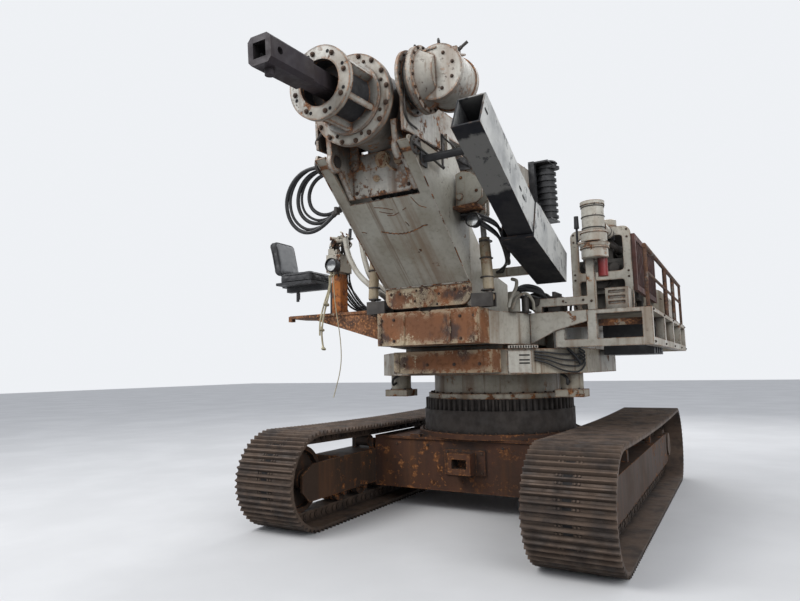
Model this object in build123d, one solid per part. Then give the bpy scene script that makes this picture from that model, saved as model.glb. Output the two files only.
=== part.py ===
from build123d import *
import math
import os

# Tracked pressure digger, parked with its mast lying forward over the front of the tracks.
# Ground at z = 0, front towards -Y, +X is the machine's left. It is drawn with its swing axis at
# x = y = 0, and save() moves the middle of its outer box there.

# Fits and clearances
SEAT = 0.3
RUNNING = 0.05
SIDE_GAP = 5.0
PLATE = 25.0

# Undercarriage
TRACK_LENGTH = 5200.0
TRACK_HEIGHT = 980.0
TRACK_GAUGE = 2900.0
SHOE_WIDTH = 700.0
SHOE_PLATE = 22.0
GROUSER_HEIGHT = 28.0
GROUSERS_PER_SHOE = 3
SHOES = 60
TRACK_SAG = 28.0
LOOP_FLATS = 108
CHAIN_HEIGHT = 105.0
CHAIN_WIDTH = 200.0
ROLLER_RADIUS = 100.0
ROLLER_COUNT = 8
CARRIER_RADIUS = 65.0
CARRIER_PIN = 20.0
CARRIER_Y = (-800.0, 800.0)
FRAME_WIDTH = 400.0
FRAME_LOW = 400.0
FRAME_HIGH = 650.0
FRAME_HALF_LENGTH = 1560.0
FORK_NOSE = 120.0
FORK_LOW = 270.0
FORK_HIGH = 640.0
SPROCKET_TEETH = 12

# Car body, tow hitch and swing ring
CAR_HALF_LENGTH = 860.0
CAR_LOW = 230.0
CAR_HIGH = 810.0
CAR_LIP = 30.0
HITCH_LOW = 445.0
HITCH_HIGH = 670.0
HITCH_X = -85.0
HITCH_WIDTH = 480.0
HITCH_REACH = 190.0
HITCH_PIN = 32.0
RING_LOW = 867.0
RING_TEETH_LOW = 1110.0
RING_TOP = 1235.0
RING_RADIUS = 860.0
RING_TEETH = 72
RING_TOOTH = 28.0
RING_BORE = 560.0

# Revolving base
COLLAR_RADIUS = 850.0
COLLAR_TOP = 1295.0
DRUM_RADIUS = 775.0
DRUM_TOP = 1510.0
BASE_TOP = 1765.0
DECK_LOW = 1810.0
DECK_TOP = 2130.0
DECK_FRONT = -1650.0
DECK_REAR = 2600.0
DECK_HALF = 760.0
BEAM_FRONT = -1900.0
BEAM_HALF = 550.0
STEP_FRONT = -1000.0
STEP_OUTER = 1930.0

# Tilting frame and arm
TILT_Z = 2275.0
TILT_PIN = 45.0
ARM_HALF = 465.0
ARM_WALL = 25.0
ARM_FOOT_Y = -1870.0
ARM_FOOT_LOW = 2182.0
ARM_FOOT_HIGH = 2440.0
ARM_NOSE_Y = -3030.0
ARM_NOSE_Z = 3400.0
ARM_REAR_Y = -1850.0

# Mast head
PIVOT_Y = -2930.0
PIVOT_Z = 3380.0
PIVOT_PIN = 50.0
KELLY_RISE = 420.0
DROOP = 4.0
CASE_RADIUS = 325.0
CASE_FRONT = -3090.0
CASE_REAR = -2300.0
FLANGE_RADIUS = 375.0
FLANGE_DEPTH = 40.0
QUILL_RADIUS = 190.0
RING_FACE = -3550.0
RING_OUTER = 285.0
RING_INNER = 180.0
KELLY_SIDE = 150.0
KELLY_TIP = -4200.0
KELLY_BOX = 200.0
KELLY_BOX_LENGTH = 460.0
KELLY_PIN = 26.0
KELLY_STROKE = 1350.0
ELBOW_X = 715.0
ELBOW_Z = 3900.0
ELBOW_RADIUS = 225.0
ELBOW_FRONT = -2980.0
ELBOW_REAR = -2640.0
ELBOW_Y = -2885.0
MAST_REAR = 1000.0
RAIL_INNER = 262.0
RAIL_WIDTH = 110.0
RAIL_HEIGHT = 230.0
STACK_RIBS = 9

# Lifting cylinders
LIFT_BASE_Y = -500.0
LIFT_BASE_Z = 2420.0
LIFT_LUG_BACK = 600.0
LIFT_LUG_RISE = 10.0
LIFT_X = 170.0
LIFT_BARREL = 72.0
LIFT_ROD = 42.0
LIFT_BARREL_LENGTH = 1330.0
LIFT_PIN = 35.0
EYE_WIDTH = 90.0
EYE_DRIFT = 105.0

# Side tilt cylinders
TILT_CYL_Y = -1835.0
TILT_BASE_X = 640.0
TILT_BASE_Z = 2235.0
TILT_TOP_X = 590.0
TILT_TOP_Z = 3050.0
TILT_BARREL = 52.0
TILT_ROD = 28.0
TILT_BARREL_LENGTH = 560.0
TILT_CYL_PIN = 20.0

KELLY_Z = PIVOT_Z + KELLY_RISE
LUG_TOP = KELLY_Z - 200
SHOE_OUTER = TRACK_HEIGHT / 2
CHAIN_OUTER = SHOE_OUTER - GROUSER_HEIGHT - SHOE_PLATE
CHAIN_INNER = CHAIN_OUTER - CHAIN_HEIGHT
WHEEL_Y = TRACK_LENGTH / 2 - SHOE_OUTER
WHEEL_Z = SHOE_OUTER
FORK_REACH = WHEEL_Y + FORK_NOSE
SIDES = (-1, 1)


def block(x0, x1, y0, y1, z0, z1):
    centre = ((x0 + x1) / 2, (y0 + y1) / 2, (z0 + z1) / 2)
    return Pos(*centre) * Box(abs(x1 - x0), abs(y1 - y0), abs(z1 - z0))


def cylinder(start, end, radius):
    start = Vector(*start)
    run = Vector(*end) - start
    base = (Align.CENTER, Align.CENTER, Align.MIN)
    return Plane(origin=start, z_dir=run) * Cylinder(radius, run.length, align=base)


def pipe(start, end, outer, inner):
    return cylinder(start, end, outer) - cylinder(start, end, inner)


def side_plate(points, x0, x1):
    face = make_face(Plane.YZ * Polyline(*points, close=True))
    return Pos(x0, 0, 0) * extrude(face, x1 - x0, dir=(1, 0, 0))


def plan_plate(points, z0, z1):
    face = make_face(Polyline(*points, close=True))
    return Pos(0, 0, z0) * extrude(face, z1 - z0, dir=(0, 0, 1))


def front_plate(points, y0, y1):
    face = make_face(Plane.XZ * Polyline(*points, close=True))
    return Pos(0, y0, 0) * extrude(face, y1 - y0, dir=(0, 1, 0))


def mirrored(solid):
    return mirror(solid, about=Plane.YZ)


# Tracks
def track_point(distance, offset):
    # Point at an offset inwards from the shoes' outer line, walking round the loop
    radius = SHOE_OUTER
    straight = 2 * WHEEL_Y
    bend = math.pi * radius
    distance = distance % (2 * straight + 2 * bend)
    if distance < straight:
        return (-WHEEL_Y + distance, offset)
    if distance < straight + bend:
        turn = (distance - straight) / radius
        reach = radius - offset
        return (WHEEL_Y + reach * math.sin(turn), WHEEL_Z - reach * math.cos(turn))
    if distance < 2 * straight + bend:
        along = distance - straight - bend
        part = along / straight
        sag = 4 * TRACK_SAG * part * (1 - part)
        return (WHEEL_Y - along, 2 * WHEEL_Z - offset - sag)
    turn = (distance - 2 * straight - bend) / radius
    reach = radius - offset
    return (-WHEEL_Y - reach * math.sin(turn), WHEEL_Z + reach * math.cos(turn))


def loop_length():
    return 4 * WHEEL_Y + 2 * math.pi * SHOE_OUTER


def shoe_outline():
    pitch = loop_length() / SHOES
    tooth = pitch / GROUSERS_PER_SHOE
    points = []
    for shoe in range(SHOES):
        start = shoe * pitch
        for grouser in range(GROUSERS_PER_SHOE):
            foot = start + (grouser + 0.12) * tooth
            points.append(track_point(foot, GROUSER_HEIGHT))
            points.append(track_point(foot + 0.26 * tooth, 0))
            points.append(track_point(foot + 0.42 * tooth, 0))
            points.append(track_point(foot + 0.68 * tooth, GROUSER_HEIGHT))
    return points


def smooth_outline(offset):
    length = loop_length()
    return [track_point(step * length / LOOP_FLATS, offset) for step in range(LOOP_FLATS)]


def track(side):
    middle = side * TRACK_GAUGE / 2
    shoes = side_plate(shoe_outline(), middle - SHOE_WIDTH / 2, middle + SHOE_WIDTH / 2)
    shoe_hole = smooth_outline(GROUSER_HEIGHT + SHOE_PLATE)
    shoes -= side_plate(shoe_hole, middle - SHOE_WIDTH, middle + SHOE_WIDTH)
    chain = side_plate(shoe_hole, middle - CHAIN_WIDTH / 2, middle + CHAIN_WIDTH / 2)
    chain_hole = smooth_outline(GROUSER_HEIGHT + SHOE_PLATE + CHAIN_HEIGHT)
    chain -= side_plate(chain_hole, middle - CHAIN_WIDTH, middle + CHAIN_WIDTH)
    return shoes + chain


def wheel_clear_radius():
    # The chain's inner line is drawn in flats, so the wheels stand inside them
    half_flat = loop_length() / LOOP_FLATS / SHOE_OUTER / 2
    return CHAIN_INNER * math.cos(half_flat) - SEAT


def sprocket(side):
    middle = side * TRACK_GAUGE / 2
    outer = wheel_clear_radius()
    root = outer - 45
    points = []
    for tooth in range(SPROCKET_TEETH):
        for part, radius in ((0.0, root), (0.28, root), (0.42, outer), (0.72, outer), (0.86, root)):
            angle = 2 * math.pi * (tooth + part) / SPROCKET_TEETH
            points.append((WHEEL_Y + radius * math.cos(angle), WHEEL_Z + radius * math.sin(angle)))
    wheel = side_plate(points, middle - 40, middle + 40)
    hub = cylinder((middle - 150, WHEEL_Y, WHEEL_Z), (middle + 150, WHEEL_Y, WHEEL_Z), 190)
    cover = cylinder((middle + side * 150, WHEEL_Y, WHEEL_Z), (middle + side * 215, WHEEL_Y, WHEEL_Z), 150)
    motor_end = middle - side * (FRAME_WIDTH / 2 + 90)
    motor = cylinder((middle - side * 150, WHEEL_Y, WHEEL_Z), (motor_end, WHEEL_Y, WHEEL_Z), 130)
    return wheel + hub + cover + motor


def idler(side):
    middle = side * TRACK_GAUGE / 2
    outer = wheel_clear_radius()
    rim = pipe((middle - 80, -WHEEL_Y, WHEEL_Z), (middle + 80, -WHEEL_Y, WHEEL_Z), outer, outer - 45)
    web = cylinder((middle - 18, -WHEEL_Y, WHEEL_Z), (middle + 18, -WHEEL_Y, WHEEL_Z), outer - 40)
    hub = cylinder((middle - 110, -WHEEL_Y, WHEEL_Z), (middle + 110, -WHEEL_Y, WHEEL_Z), 95)
    axle_half = FRAME_WIDTH / 2 - PLATE - SEAT
    axle = cylinder((middle - axle_half, -WHEEL_Y, WHEEL_Z), (middle + axle_half, -WHEEL_Y, WHEEL_Z), 50)
    return rim + web + hub + axle


def track_rollers(side):
    middle = side * TRACK_GAUGE / 2
    rail = SHOE_OUTER - CHAIN_INNER
    z = rail + ROLLER_RADIUS + SEAT
    spacing = 2 * (FRAME_HALF_LENGTH - ROLLER_RADIUS) / (ROLLER_COUNT - 1)
    half = FRAME_WIDTH / 2 - PLATE - SEAT
    solids = []
    for number in range(ROLLER_COUNT):
        y = -FRAME_HALF_LENGTH + ROLLER_RADIUS + number * spacing
        wheel = cylinder((middle - 105, y, z), (middle + 105, y, z), ROLLER_RADIUS)
        flanges = pipe((middle - 20, y, z), (middle + 20, y, z), ROLLER_RADIUS, ROLLER_RADIUS - 22)
        shaft = cylinder((middle - half, y, z), (middle + half, y, z), 34)
        solids.append(wheel - flanges + shaft)
    for y in CARRIER_Y:
        z = carrier_height(y)
        wheel = cylinder((middle - 90, y, z), (middle + 90, y, z), CARRIER_RADIUS)
        shaft = cylinder((middle - 150, y, z), (middle + 150, y, z), CARRIER_PIN - RUNNING)
        solids.append(wheel + shaft)
    return solids


def carrier_height(y):
    top = track_point(2 * WHEEL_Y + math.pi * SHOE_OUTER + WHEEL_Y - y, 0)[1]
    return top - GROUSER_HEIGHT - SHOE_PLATE - CHAIN_HEIGHT - CARRIER_RADIUS - 2


def side_frame(side):
    middle = side * TRACK_GAUGE / 2
    half = FRAME_WIDTH / 2
    box = block(middle - half + PLATE, middle + half - PLATE, -FRAME_HALF_LENGTH, FRAME_HALF_LENGTH,
                FRAME_LOW, FRAME_HIGH)
    cheek = [(-FORK_REACH, FORK_LOW + 110), (-FORK_REACH + 110, FORK_LOW), (FORK_REACH - 260, FORK_LOW),
             (FORK_REACH - 110, FORK_LOW + 130), (FORK_REACH - 110, FORK_HIGH - 60),
             (FORK_REACH - 220, FORK_HIGH), (FRAME_HALF_LENGTH, FRAME_HIGH),
             (-FRAME_HALF_LENGTH, FRAME_HIGH), (-FORK_REACH + 160, FORK_HIGH),
             (-FORK_REACH, FORK_HIGH - 90)]
    inner = side_plate(cheek, middle - half, middle - half + PLATE)
    outer = side_plate(cheek, middle + half - PLATE, middle + half)
    opening = cylinder((middle - half - 1, WHEEL_Y, WHEEL_Z), (middle + half + 1, WHEEL_Y, WHEEL_Z), 192)
    frame = box + (inner - opening) + (outer - opening)
    for y in CARRIER_Y:
        z = carrier_height(y)
        for x0, x1 in ((middle - 150, middle - 95), (middle + 95, middle + 150)):
            frame += block(x0, x1, y - 40, y + 40, FRAME_HIGH - 1, z + 30)
            frame -= cylinder((x0 - 1, y, z), (x1 + 1, y, z), CARRIER_PIN)
    return frame


# Car body
def car_body():
    half = TRACK_GAUGE / 2 - FRAME_WIDTH / 2
    body = block(-half, half, -CAR_HALF_LENGTH, CAR_HALF_LENGTH, CAR_LOW, CAR_HIGH)
    for side in SIDES:
        pocket = block(side * half, side * (half - 260), -CAR_HALF_LENGTH + 190, CAR_HALF_LENGTH - 190,
                       CAR_LOW - 1, CAR_LOW + 250)
        body -= pocket
    body += block(-half + 150, half - 150, -CAR_HALF_LENGTH - 25, CAR_HALF_LENGTH, CAR_HIGH - 25, CAR_HIGH)
    for x in (-700, -250, 250, 700):
        body += block(x - 60, x + 60, -CAR_HALF_LENGTH - 25, -CAR_HALF_LENGTH + 60, CAR_HIGH, CAR_HIGH + CAR_LIP)
    seat = cylinder((0, 0, CAR_HIGH - 1), (0, 0, RING_LOW), RING_RADIUS + 110)
    bore = cylinder((0, 0, CAR_HIGH), (0, 0, RING_LOW + 1), RING_BORE)
    return body + (seat - bore)


def tow_hitch():
    front = -CAR_HALF_LENGTH - HITCH_REACH
    back = -CAR_HALF_LENGTH - SEAT
    low, high = HITCH_LOW, HITCH_HIGH
    half = HITCH_WIDTH / 2
    body = block(HITCH_X - half * 0.55, HITCH_X + half * 0.55, front, back, low, high)
    body += block(HITCH_X - half, HITCH_X + half, back - 30, back, low - 20, high + 20)
    body -= block(HITCH_X - half * 0.36, HITCH_X + half * 0.36, front - 1, back - 35, low + 62, high - 62)
    pin_y = (front + back) / 2 - 20
    body -= cylinder((HITCH_X, pin_y, low - 1), (HITCH_X, pin_y, high + 1), HITCH_PIN)
    return body


def swing_ring():
    points = []
    for tooth in range(RING_TEETH):
        for part, radius in ((0.0, RING_RADIUS), (0.18, RING_RADIUS + RING_TOOTH),
                             (0.48, RING_RADIUS + RING_TOOTH), (0.66, RING_RADIUS)):
            angle = 2 * math.pi * (tooth + part) / RING_TEETH
            points.append((radius * math.cos(angle), radius * math.sin(angle)))
    teeth = plan_plate(points, RING_TEETH_LOW, RING_TOP)
    band = cylinder((0, 0, RING_LOW + SEAT), (0, 0, RING_TEETH_LOW), RING_RADIUS + 40)
    bore = cylinder((0, 0, RING_LOW), (0, 0, RING_TOP + 1), RING_BORE)
    return teeth + band - bore


# Revolving base and deck
def revolving_base():
    collar = cylinder((0, 0, RING_TOP + SEAT), (0, 0, COLLAR_TOP), COLLAR_RADIUS)
    drum = cylinder((0, 0, COLLAR_TOP), (0, 0, DRUM_TOP), DRUM_RADIUS)
    outline = [(-885, -1100), (-600, -1330), (600, -1330), (1240, -700), (1240, 900), (900, 1330),
               (-900, 1330), (-1210, 900), (-1210, -700)]
    base = plan_plate(outline, DRUM_TOP, BASE_TOP)
    riser = block(-560, 560, -1300, 1500, BASE_TOP, DECK_LOW)
    socket = cylinder((0, 0, RING_TOP), (0, 0, COLLAR_TOP + 60), 400)
    return collar + drum + base + riser - socket


def swing_motors():
    solids = []
    for x, y in ((-1015, -620), (1040, -560)):
        body = cylinder((x, y, RING_TEETH_LOW + 160), (x, y, DRUM_TOP - SEAT), 120)
        foot = block(x - 150, x + 150, y - 130, y + 130, RING_TEETH_LOW + 150, RING_TEETH_LOW + 230)
        solids.append(body + foot)
    return solids


def lower_bumper():
    bumper = block(-540, 540, -1600, -1330 - SEAT, DRUM_TOP + 25, BASE_TOP - 8)
    for x in (-500, 500):
        bumper += block(x - 25, x + 25, -1615, -1600, DRUM_TOP + 40, BASE_TOP - 20)
    return bumper


def front_beam():
    low, high = DECK_LOW + 5, DECK_TOP + 15
    notch = [(-70, high + 1), (0, high - 38), (70, high + 1)]
    beam = block(-BEAM_HALF, BEAM_HALF, BEAM_FRONT, DECK_FRONT - SEAT, low, high)
    beam -= front_plate(notch, BEAM_FRONT - 1, BEAM_FRONT + 60)
    for x in (-BEAM_HALF + 30, -250, 250, BEAM_HALF - 30):
        beam += block(x - 12, x + 12, BEAM_FRONT - 18, BEAM_FRONT, low + 15, high - 40)
    return beam


def deck_frame():
    outline = [(-BEAM_HALF, DECK_FRONT), (BEAM_HALF, DECK_FRONT), (DECK_HALF, STEP_FRONT),
               (DECK_HALF, DECK_REAR), (-DECK_HALF, DECK_REAR), (-DECK_HALF, STEP_FRONT)]
    deck = plan_plate(outline, DECK_LOW, DECK_TOP)
    for y in (STEP_FRONT, 200, 1400):
        deck += block(-DECK_HALF - 12, DECK_HALF, y, y + 40, DECK_LOW + 20, DECK_TOP - 20)
    return deck


def side_platform():
    # Open truss of posts and chords that carries the engine and the walkway
    inner, outer = DECK_HALF + SEAT, STEP_OUTER
    low = DECK_LOW - 40
    chord = low + 75
    under = DECK_TOP - 40
    bar = 90
    solids = [block(inner, outer, STEP_FRONT, DECK_REAR, under, DECK_TOP)]
    solids.append(block(inner, inner + bar, STEP_FRONT + 500, DECK_REAR, low, under - SEAT))
    solids.append(block(inner + 250, outer, STEP_FRONT, STEP_FRONT + bar, low, chord))
    solids.append(block(outer - bar, outer, STEP_FRONT + bar + SEAT, DECK_REAR, low, chord))
    solids.append(block(inner + bar + SEAT, outer - bar - SEAT, DECK_REAR - bar, DECK_REAR, low, chord))
    for x in (inner + 250, 1330, outer - bar):
        solids.append(block(x, x + bar, STEP_FRONT, STEP_FRONT + bar, chord + SEAT, under - SEAT))
    for y in (0, 900, 1800, DECK_REAR - bar):
        solids.append(block(outer - bar, outer, y, y + bar, chord + SEAT, under - SEAT))
    face = [(inner, DECK_TOP), (inner + 260, DECK_TOP), (1330, DECK_TOP), (1330, DECK_TOP - 110),
            (inner + 260, DECK_TOP - 190), (inner, DECK_LOW)]
    solids.append(front_plate(face, STEP_FRONT - 25, STEP_FRONT - SEAT))
    return solids


def upright_frame():
    # Cross channel and post in front of the engine
    low = DECK_TOP + 60
    channel = block(800, 1420, STEP_FRONT + 10, STEP_FRONT + 90, low, low + 85)
    post = block(1340, 1420, STEP_FRONT + 10, STEP_FRONT + 90, DECK_TOP + SEAT, 2780)
    leg = block(800, 880, STEP_FRONT + 10, STEP_FRONT + 90, DECK_TOP + SEAT, low)
    plate = block(1300, 1560, STEP_FRONT - 100, STEP_FRONT + 90, 2780, 2800)
    return channel + post + leg + plate


def air_cleaner():
    x, y = 1440, STEP_FRONT - 5
    body = cylinder((x, y, 2800 + SEAT), (x, y, 2900), 125)
    body += cylinder((x, y, 2900), (x, y, 3170), 108)
    body += cylinder((x, y, 3170), (x, y, 3205), 118)
    body += cylinder((x, y, 2885), (x, y, 2905), 134)
    elbow = cylinder((x + 60, y + 60, 2960), (x + 60, y + 420, 2960), 55)
    return body + elbow


def handrails():
    rail = []
    x = STEP_OUTER - 35
    low = DECK_TOP - 40
    spans = ((STEP_FRONT + 45, 600, 2720), (720, 1500, 2720), (1620, DECK_REAR - 60, 2720))
    for start, end, top in spans:
        for y in (start, end):
            rail.append(cylinder((x, y, DECK_TOP + SEAT), (x, y, top), 18))
        rail.append(cylinder((x, start - 30, top), (x, end + 30, top), 22))
        rail.append(cylinder((x, start, low + 380), (x, end, low + 380), 15))
    whole = rail[0]
    for piece in rail[1:]:
        whole += piece
    return whole


def engine():
    base = DECK_TOP + SEAT
    block_body = block(1120, 1620, -400, 900, base + 220, 2720)
    sump = block(1200, 1540, -300, 800, base + 60, base + 220)
    head = block(1180, 1500, -350, 850, 2720, 2900)
    cover = block(1220, 1400, -320, 820, 2900, 2980)
    feet = block(1120, 1180, -300, -180, base, base + 220) + block(1560, 1620, -300, -180, base, base + 220)
    feet += block(1120, 1180, 700, 820, base, base + 220) + block(1560, 1620, 700, 820, base, base + 220)
    manifold = cylinder((1560, -300, 2800), (1560, 800, 2800), 55)
    ports = block(1490, 1560, -260, -200, 2770, 2830)
    for y in (0, 260, 520, 740):
        ports += block(1490, 1560, y - 30, y + 30, 2770, 2830)
    return block_body + sump + head + cover + feet + manifold + ports


def engine_frame():
    # Front hoop with a window, rear hoop and roof of the engine housing
    low, high = DECK_TOP + SEAT, 3040
    front, rear, thick = -520, 1050, 45
    solids = []
    for y in (front, rear):
        face = Plane.XZ * Pos(1400, (low + high) / 2) * RectangleRounded(620, high - low, 75)
        window = Plane.XZ * Pos(1400, 2760) * RectangleRounded(460, 380, 40)
        foot_window = Plane.XZ * Pos(1400, 2330) * RectangleRounded(460, 300, 30)
        solids.append(Pos(0, y, 0) * extrude(face - window - foot_window, thick, dir=(0, 1, 0)))
    solids.append(block(1170, 1630, front + thick + SEAT, rear - SEAT, high - 45, high))
    return solids


def side_grille():
    low, high = 2350, 2950
    x0, x1 = 1710 + SEAT, 1750
    frame = block(x0, x1, -500, 1080, low, high) - block(x0 - 1, x1 + 1, -440, 1020, low + 60, high - 60)
    count = 14
    spacing = 1460 / count
    for number in range(count):
        y = -440 + (number + 0.5) * spacing
        frame += block(x0 + 8, x1 - 6, y - 14, y + 14, low + 55, high - 55)
    return frame


def battery_box():
    low = DECK_TOP + SEAT
    box = block(1470, 1690, -760, -530, low, 2365)
    for z in (2200, 2255, 2310):
        box -= block(1500, 1660, -761, -745, z, z + 28)
    return box


def rear_tank():
    y0, y1 = 1300, 2450
    low = DECK_TOP + SEAT
    body = block(1250, 1820, y0, y1, low, low + 420)
    return fillet(body.edges().filter_by(Axis.Y), 120)


def seat_post():
    base = DECK_TOP + 70
    upright = block(-1330, -1260, -1640, -1560, base + SEAT, 2560)
    gusset = side_plate([(-1560, base + 1), (-1300, base + 1), (-1560, base + 330)], -1310, -1285)
    arm = block(-1960, -1260, -1640, -1560, 2500, 2560)
    legs = block(-1800, -1775, -1660, -1635, 2380, 2500) + block(-1870, -1845, -1560, -1535, 2420, 2500)
    pan = block(-1960, -1450, -1830, -1370, 2560, 2590)
    return upright + gusset + arm + legs + pan


def operator_platform():
    top = DECK_TOP + 70
    under = top - 30
    points = [(-700, -1800), (-700, -1660), (-575, -1590), (-575, -1000), (-1400, -1000), (-1780, -1500),
              (-1780, -1800)]
    platform = plan_plate(points, under, top)
    platform += front_plate([(-BEAM_HALF - SEAT, DECK_LOW + 60), (-BEAM_HALF - SEAT, DECK_TOP + 10),
                             (-700, DECK_TOP + 10), (-700, under + 1), (-1400, under + 1), (-1400, under - 40)],
                            -1790, -1765)
    platform += front_plate([(-DECK_HALF - SEAT, DECK_LOW + 60), (-DECK_HALF - SEAT, under + 1),
                             (-1400, under + 1), (-1400, under - 40)], -1030, -1005)
    for y0, y1 in ((-1580, -1450), (-1250, -1100)):
        platform += block(-615, -578, y0, y1, DECK_TOP + SEAT, under + 1)
    return platform + block(-1830, -1780, -1760, -1700, top - 60, top)


def seat_cushion():
    body = block(-1950, -1460, -1820, -1380, 2590 + SEAT, 2690)
    return fillet(body.edges().filter_by(Axis.Z), 60)


def seat_back():
    body = block(-60, 30, -220, 220, 0, 520)
    body = fillet(body.edges().filter_by(Axis.X), 70)
    return Pos(-1960, -1600, 2690 + SEAT) * Rot(Y=-12) * body


def seat_bracket():
    return block(-2030, -1955, -1640, -1560, 2560, 2677.5)


def controls():
    base = DECK_TOP + 70
    stand = block(-1260, -1150, -1700, -1560, base + SEAT, 2660)
    bank = block(-1310, -1120, -1740, -1520, 2660, 2860)
    for number in range(5):
        x = -1291 + number * 38
        bank += cylinder((x, -1630, 2860), (x, -1630, 2960), 9)
        bank += Pos(x, -1630, 2972) * Sphere(17)
        bank += cylinder((x, -1752, 2795), (x, -1735, 2795), 15)
    return stand + bank


def cord_hook():
    return block(-1180, -1115, -1865, -1835, ROPE_ROUTE[0][2], 2700)


def work_lamp(x, y, z, radius, foot):
    # Round lamp facing forward, on a bracket rod to its foot point
    shell = cylinder((x, y, z), (x, y + 70, z), radius - 6)
    shell += cylinder((x, y + 70, z), (x, y + 100, z), radius * 0.6)
    shell += pipe((x, y - 18, z), (x, y + 12, z), radius, radius - 9)
    pad = Pos(*foot) * Box(26, 26, 26)
    return shell + cylinder((x, y + 60, z), foot, 12) + pad


# Arm
def arm_wall_points():
    return [(ARM_FOOT_Y, ARM_FOOT_HIGH - 60), (ARM_NOSE_Y, ARM_NOSE_Z), (ARM_NOSE_Y + 15, PIVOT_Z + 60),
            (PIVOT_Y + 40, PIVOT_Z + 72), (-2300, PIVOT_Z + 72), (-2300, 3690), (-1950, 3340),
            (ARM_REAR_Y, 3150), (ARM_REAR_Y, ARM_FOOT_HIGH - 60)]


def slope_at(z):
    # Front line of the arm's sloping face at a height
    part = (z - (ARM_FOOT_HIGH - 60)) / (ARM_NOSE_Z - (ARM_FOOT_HIGH - 60))
    return ARM_FOOT_Y + part * (ARM_NOSE_Y - ARM_FOOT_Y)


def arm_box():
    wall = side_plate(arm_wall_points(), ARM_HALF - ARM_WALL, ARM_HALF)
    walls = wall + mirrored(wall)
    run = Vector(0, ARM_NOSE_Y - ARM_FOOT_Y, ARM_NOSE_Z - ARM_FOOT_HIGH + 60).normalized()
    inward = Vector(0, run.Z, -run.Y)
    low = (ARM_FOOT_Y, ARM_FOOT_HIGH - 60)
    high = (ARM_NOSE_Y, ARM_NOSE_Z)
    depth = 22
    back_high = (high[0] + inward.Y * depth, high[1] + inward.Z * depth)
    back_low = (low[0] + inward.Y * depth, low[1] + inward.Z * depth)
    face = side_plate([low, high, back_high, back_low], -ARM_HALF, ARM_HALF)
    mouth = block(-358, 358, ARM_NOSE_Y - 60, slope_at(3070) + 60, 3070, ARM_NOSE_Z + 60)
    face -= mouth
    rear = block(-ARM_HALF, ARM_HALF, ARM_REAR_Y - 20, ARM_REAR_Y, ARM_FOOT_HIGH - 60, 2950)
    pin = cylinder((-ARM_HALF - 1, PIVOT_Y, PIVOT_Z), (ARM_HALF + 1, PIVOT_Y, PIVOT_Z), PIVOT_PIN + RUNNING)
    return walls + face + rear - pin


def arm_foot():
    face = Plane.XZ * Pos(0, (ARM_FOOT_LOW + ARM_FOOT_HIGH - 60) / 2) * Rectangle(
        2 * ARM_HALF, ARM_FOOT_HIGH - 60 - ARM_FOOT_LOW)
    corners = face.vertices().sort_by(Axis.Z)[:2]
    face = fillet(corners, 110)
    plate = Pos(0, ARM_FOOT_Y, 0) * extrude(face, 40, dir=(0, 1, 0))
    boss = cylinder((0, ARM_FOOT_Y - 28, TILT_Z), (0, ARM_FOOT_Y + 40, TILT_Z), 92)
    bore = cylinder((0, ARM_FOOT_Y - 10, TILT_Z), (0, ARM_FOOT_Y + 41, TILT_Z), TILT_PIN + RUNNING)
    return plate + boss - bore


# Base frame that carries the arm's rear and the lifting cylinders
def tilt_frame():
    low = DECK_TOP + 70
    front = ARM_REAR_Y + SEAT
    wall = side_plate([(front, 2400), (front, 3280), (front + 120, 3280), (-900, 2620), (-380, 2540),
                       (-380, low), (-1560, low), (-1700, 2400)], 280, 305)
    floor = block(-305, 305, -1500, -380, low, low + 25)
    rear = block(-305, 305, -405, -380, low, 2540)
    rear -= cylinder((0, -410, TILT_Z), (0, -370, TILT_Z), TILT_PIN + RUNNING)
    frame = wall + mirrored(wall) + floor + rear
    for side in SIDES:
        for offset in (-EYE_WIDTH / 2 - 27, EYE_WIDTH / 2 + 2):
            x = side * LIFT_X + offset
            lug = side_plate([(LIFT_BASE_Y - 110, low + 20), (LIFT_BASE_Y + 85, low + 20),
                              (LIFT_BASE_Y + 70, LIFT_BASE_Z + 55), (LIFT_BASE_Y - 40, LIFT_BASE_Z + 70)],
                             x, x + 25)
            frame += lug
    frame += block(300, 860 - SEAT, -1110, -1050, 2530, 2620)
    pins = cylinder((-LIFT_X - 72, LIFT_BASE_Y, LIFT_BASE_Z), (LIFT_X + 72, LIFT_BASE_Y, LIFT_BASE_Z), LIFT_PIN)
    return frame + pins


def tilt_bearings():
    front = block(-130, 130, ARM_FOOT_Y + 50, ARM_FOOT_Y + 130, DECK_TOP + 15 + SEAT, TILT_Z + 70)
    front += cylinder((0, ARM_FOOT_Y - 5, TILT_Z), (0, ARM_FOOT_Y + 60, TILT_Z), TILT_PIN)
    rear = block(-130, 130, -370, -290, DECK_TOP + SEAT, TILT_Z + 90)
    rear += cylinder((0, -410 + 8, TILT_Z), (0, -300, TILT_Z), TILT_PIN)
    return [front, rear]


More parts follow.
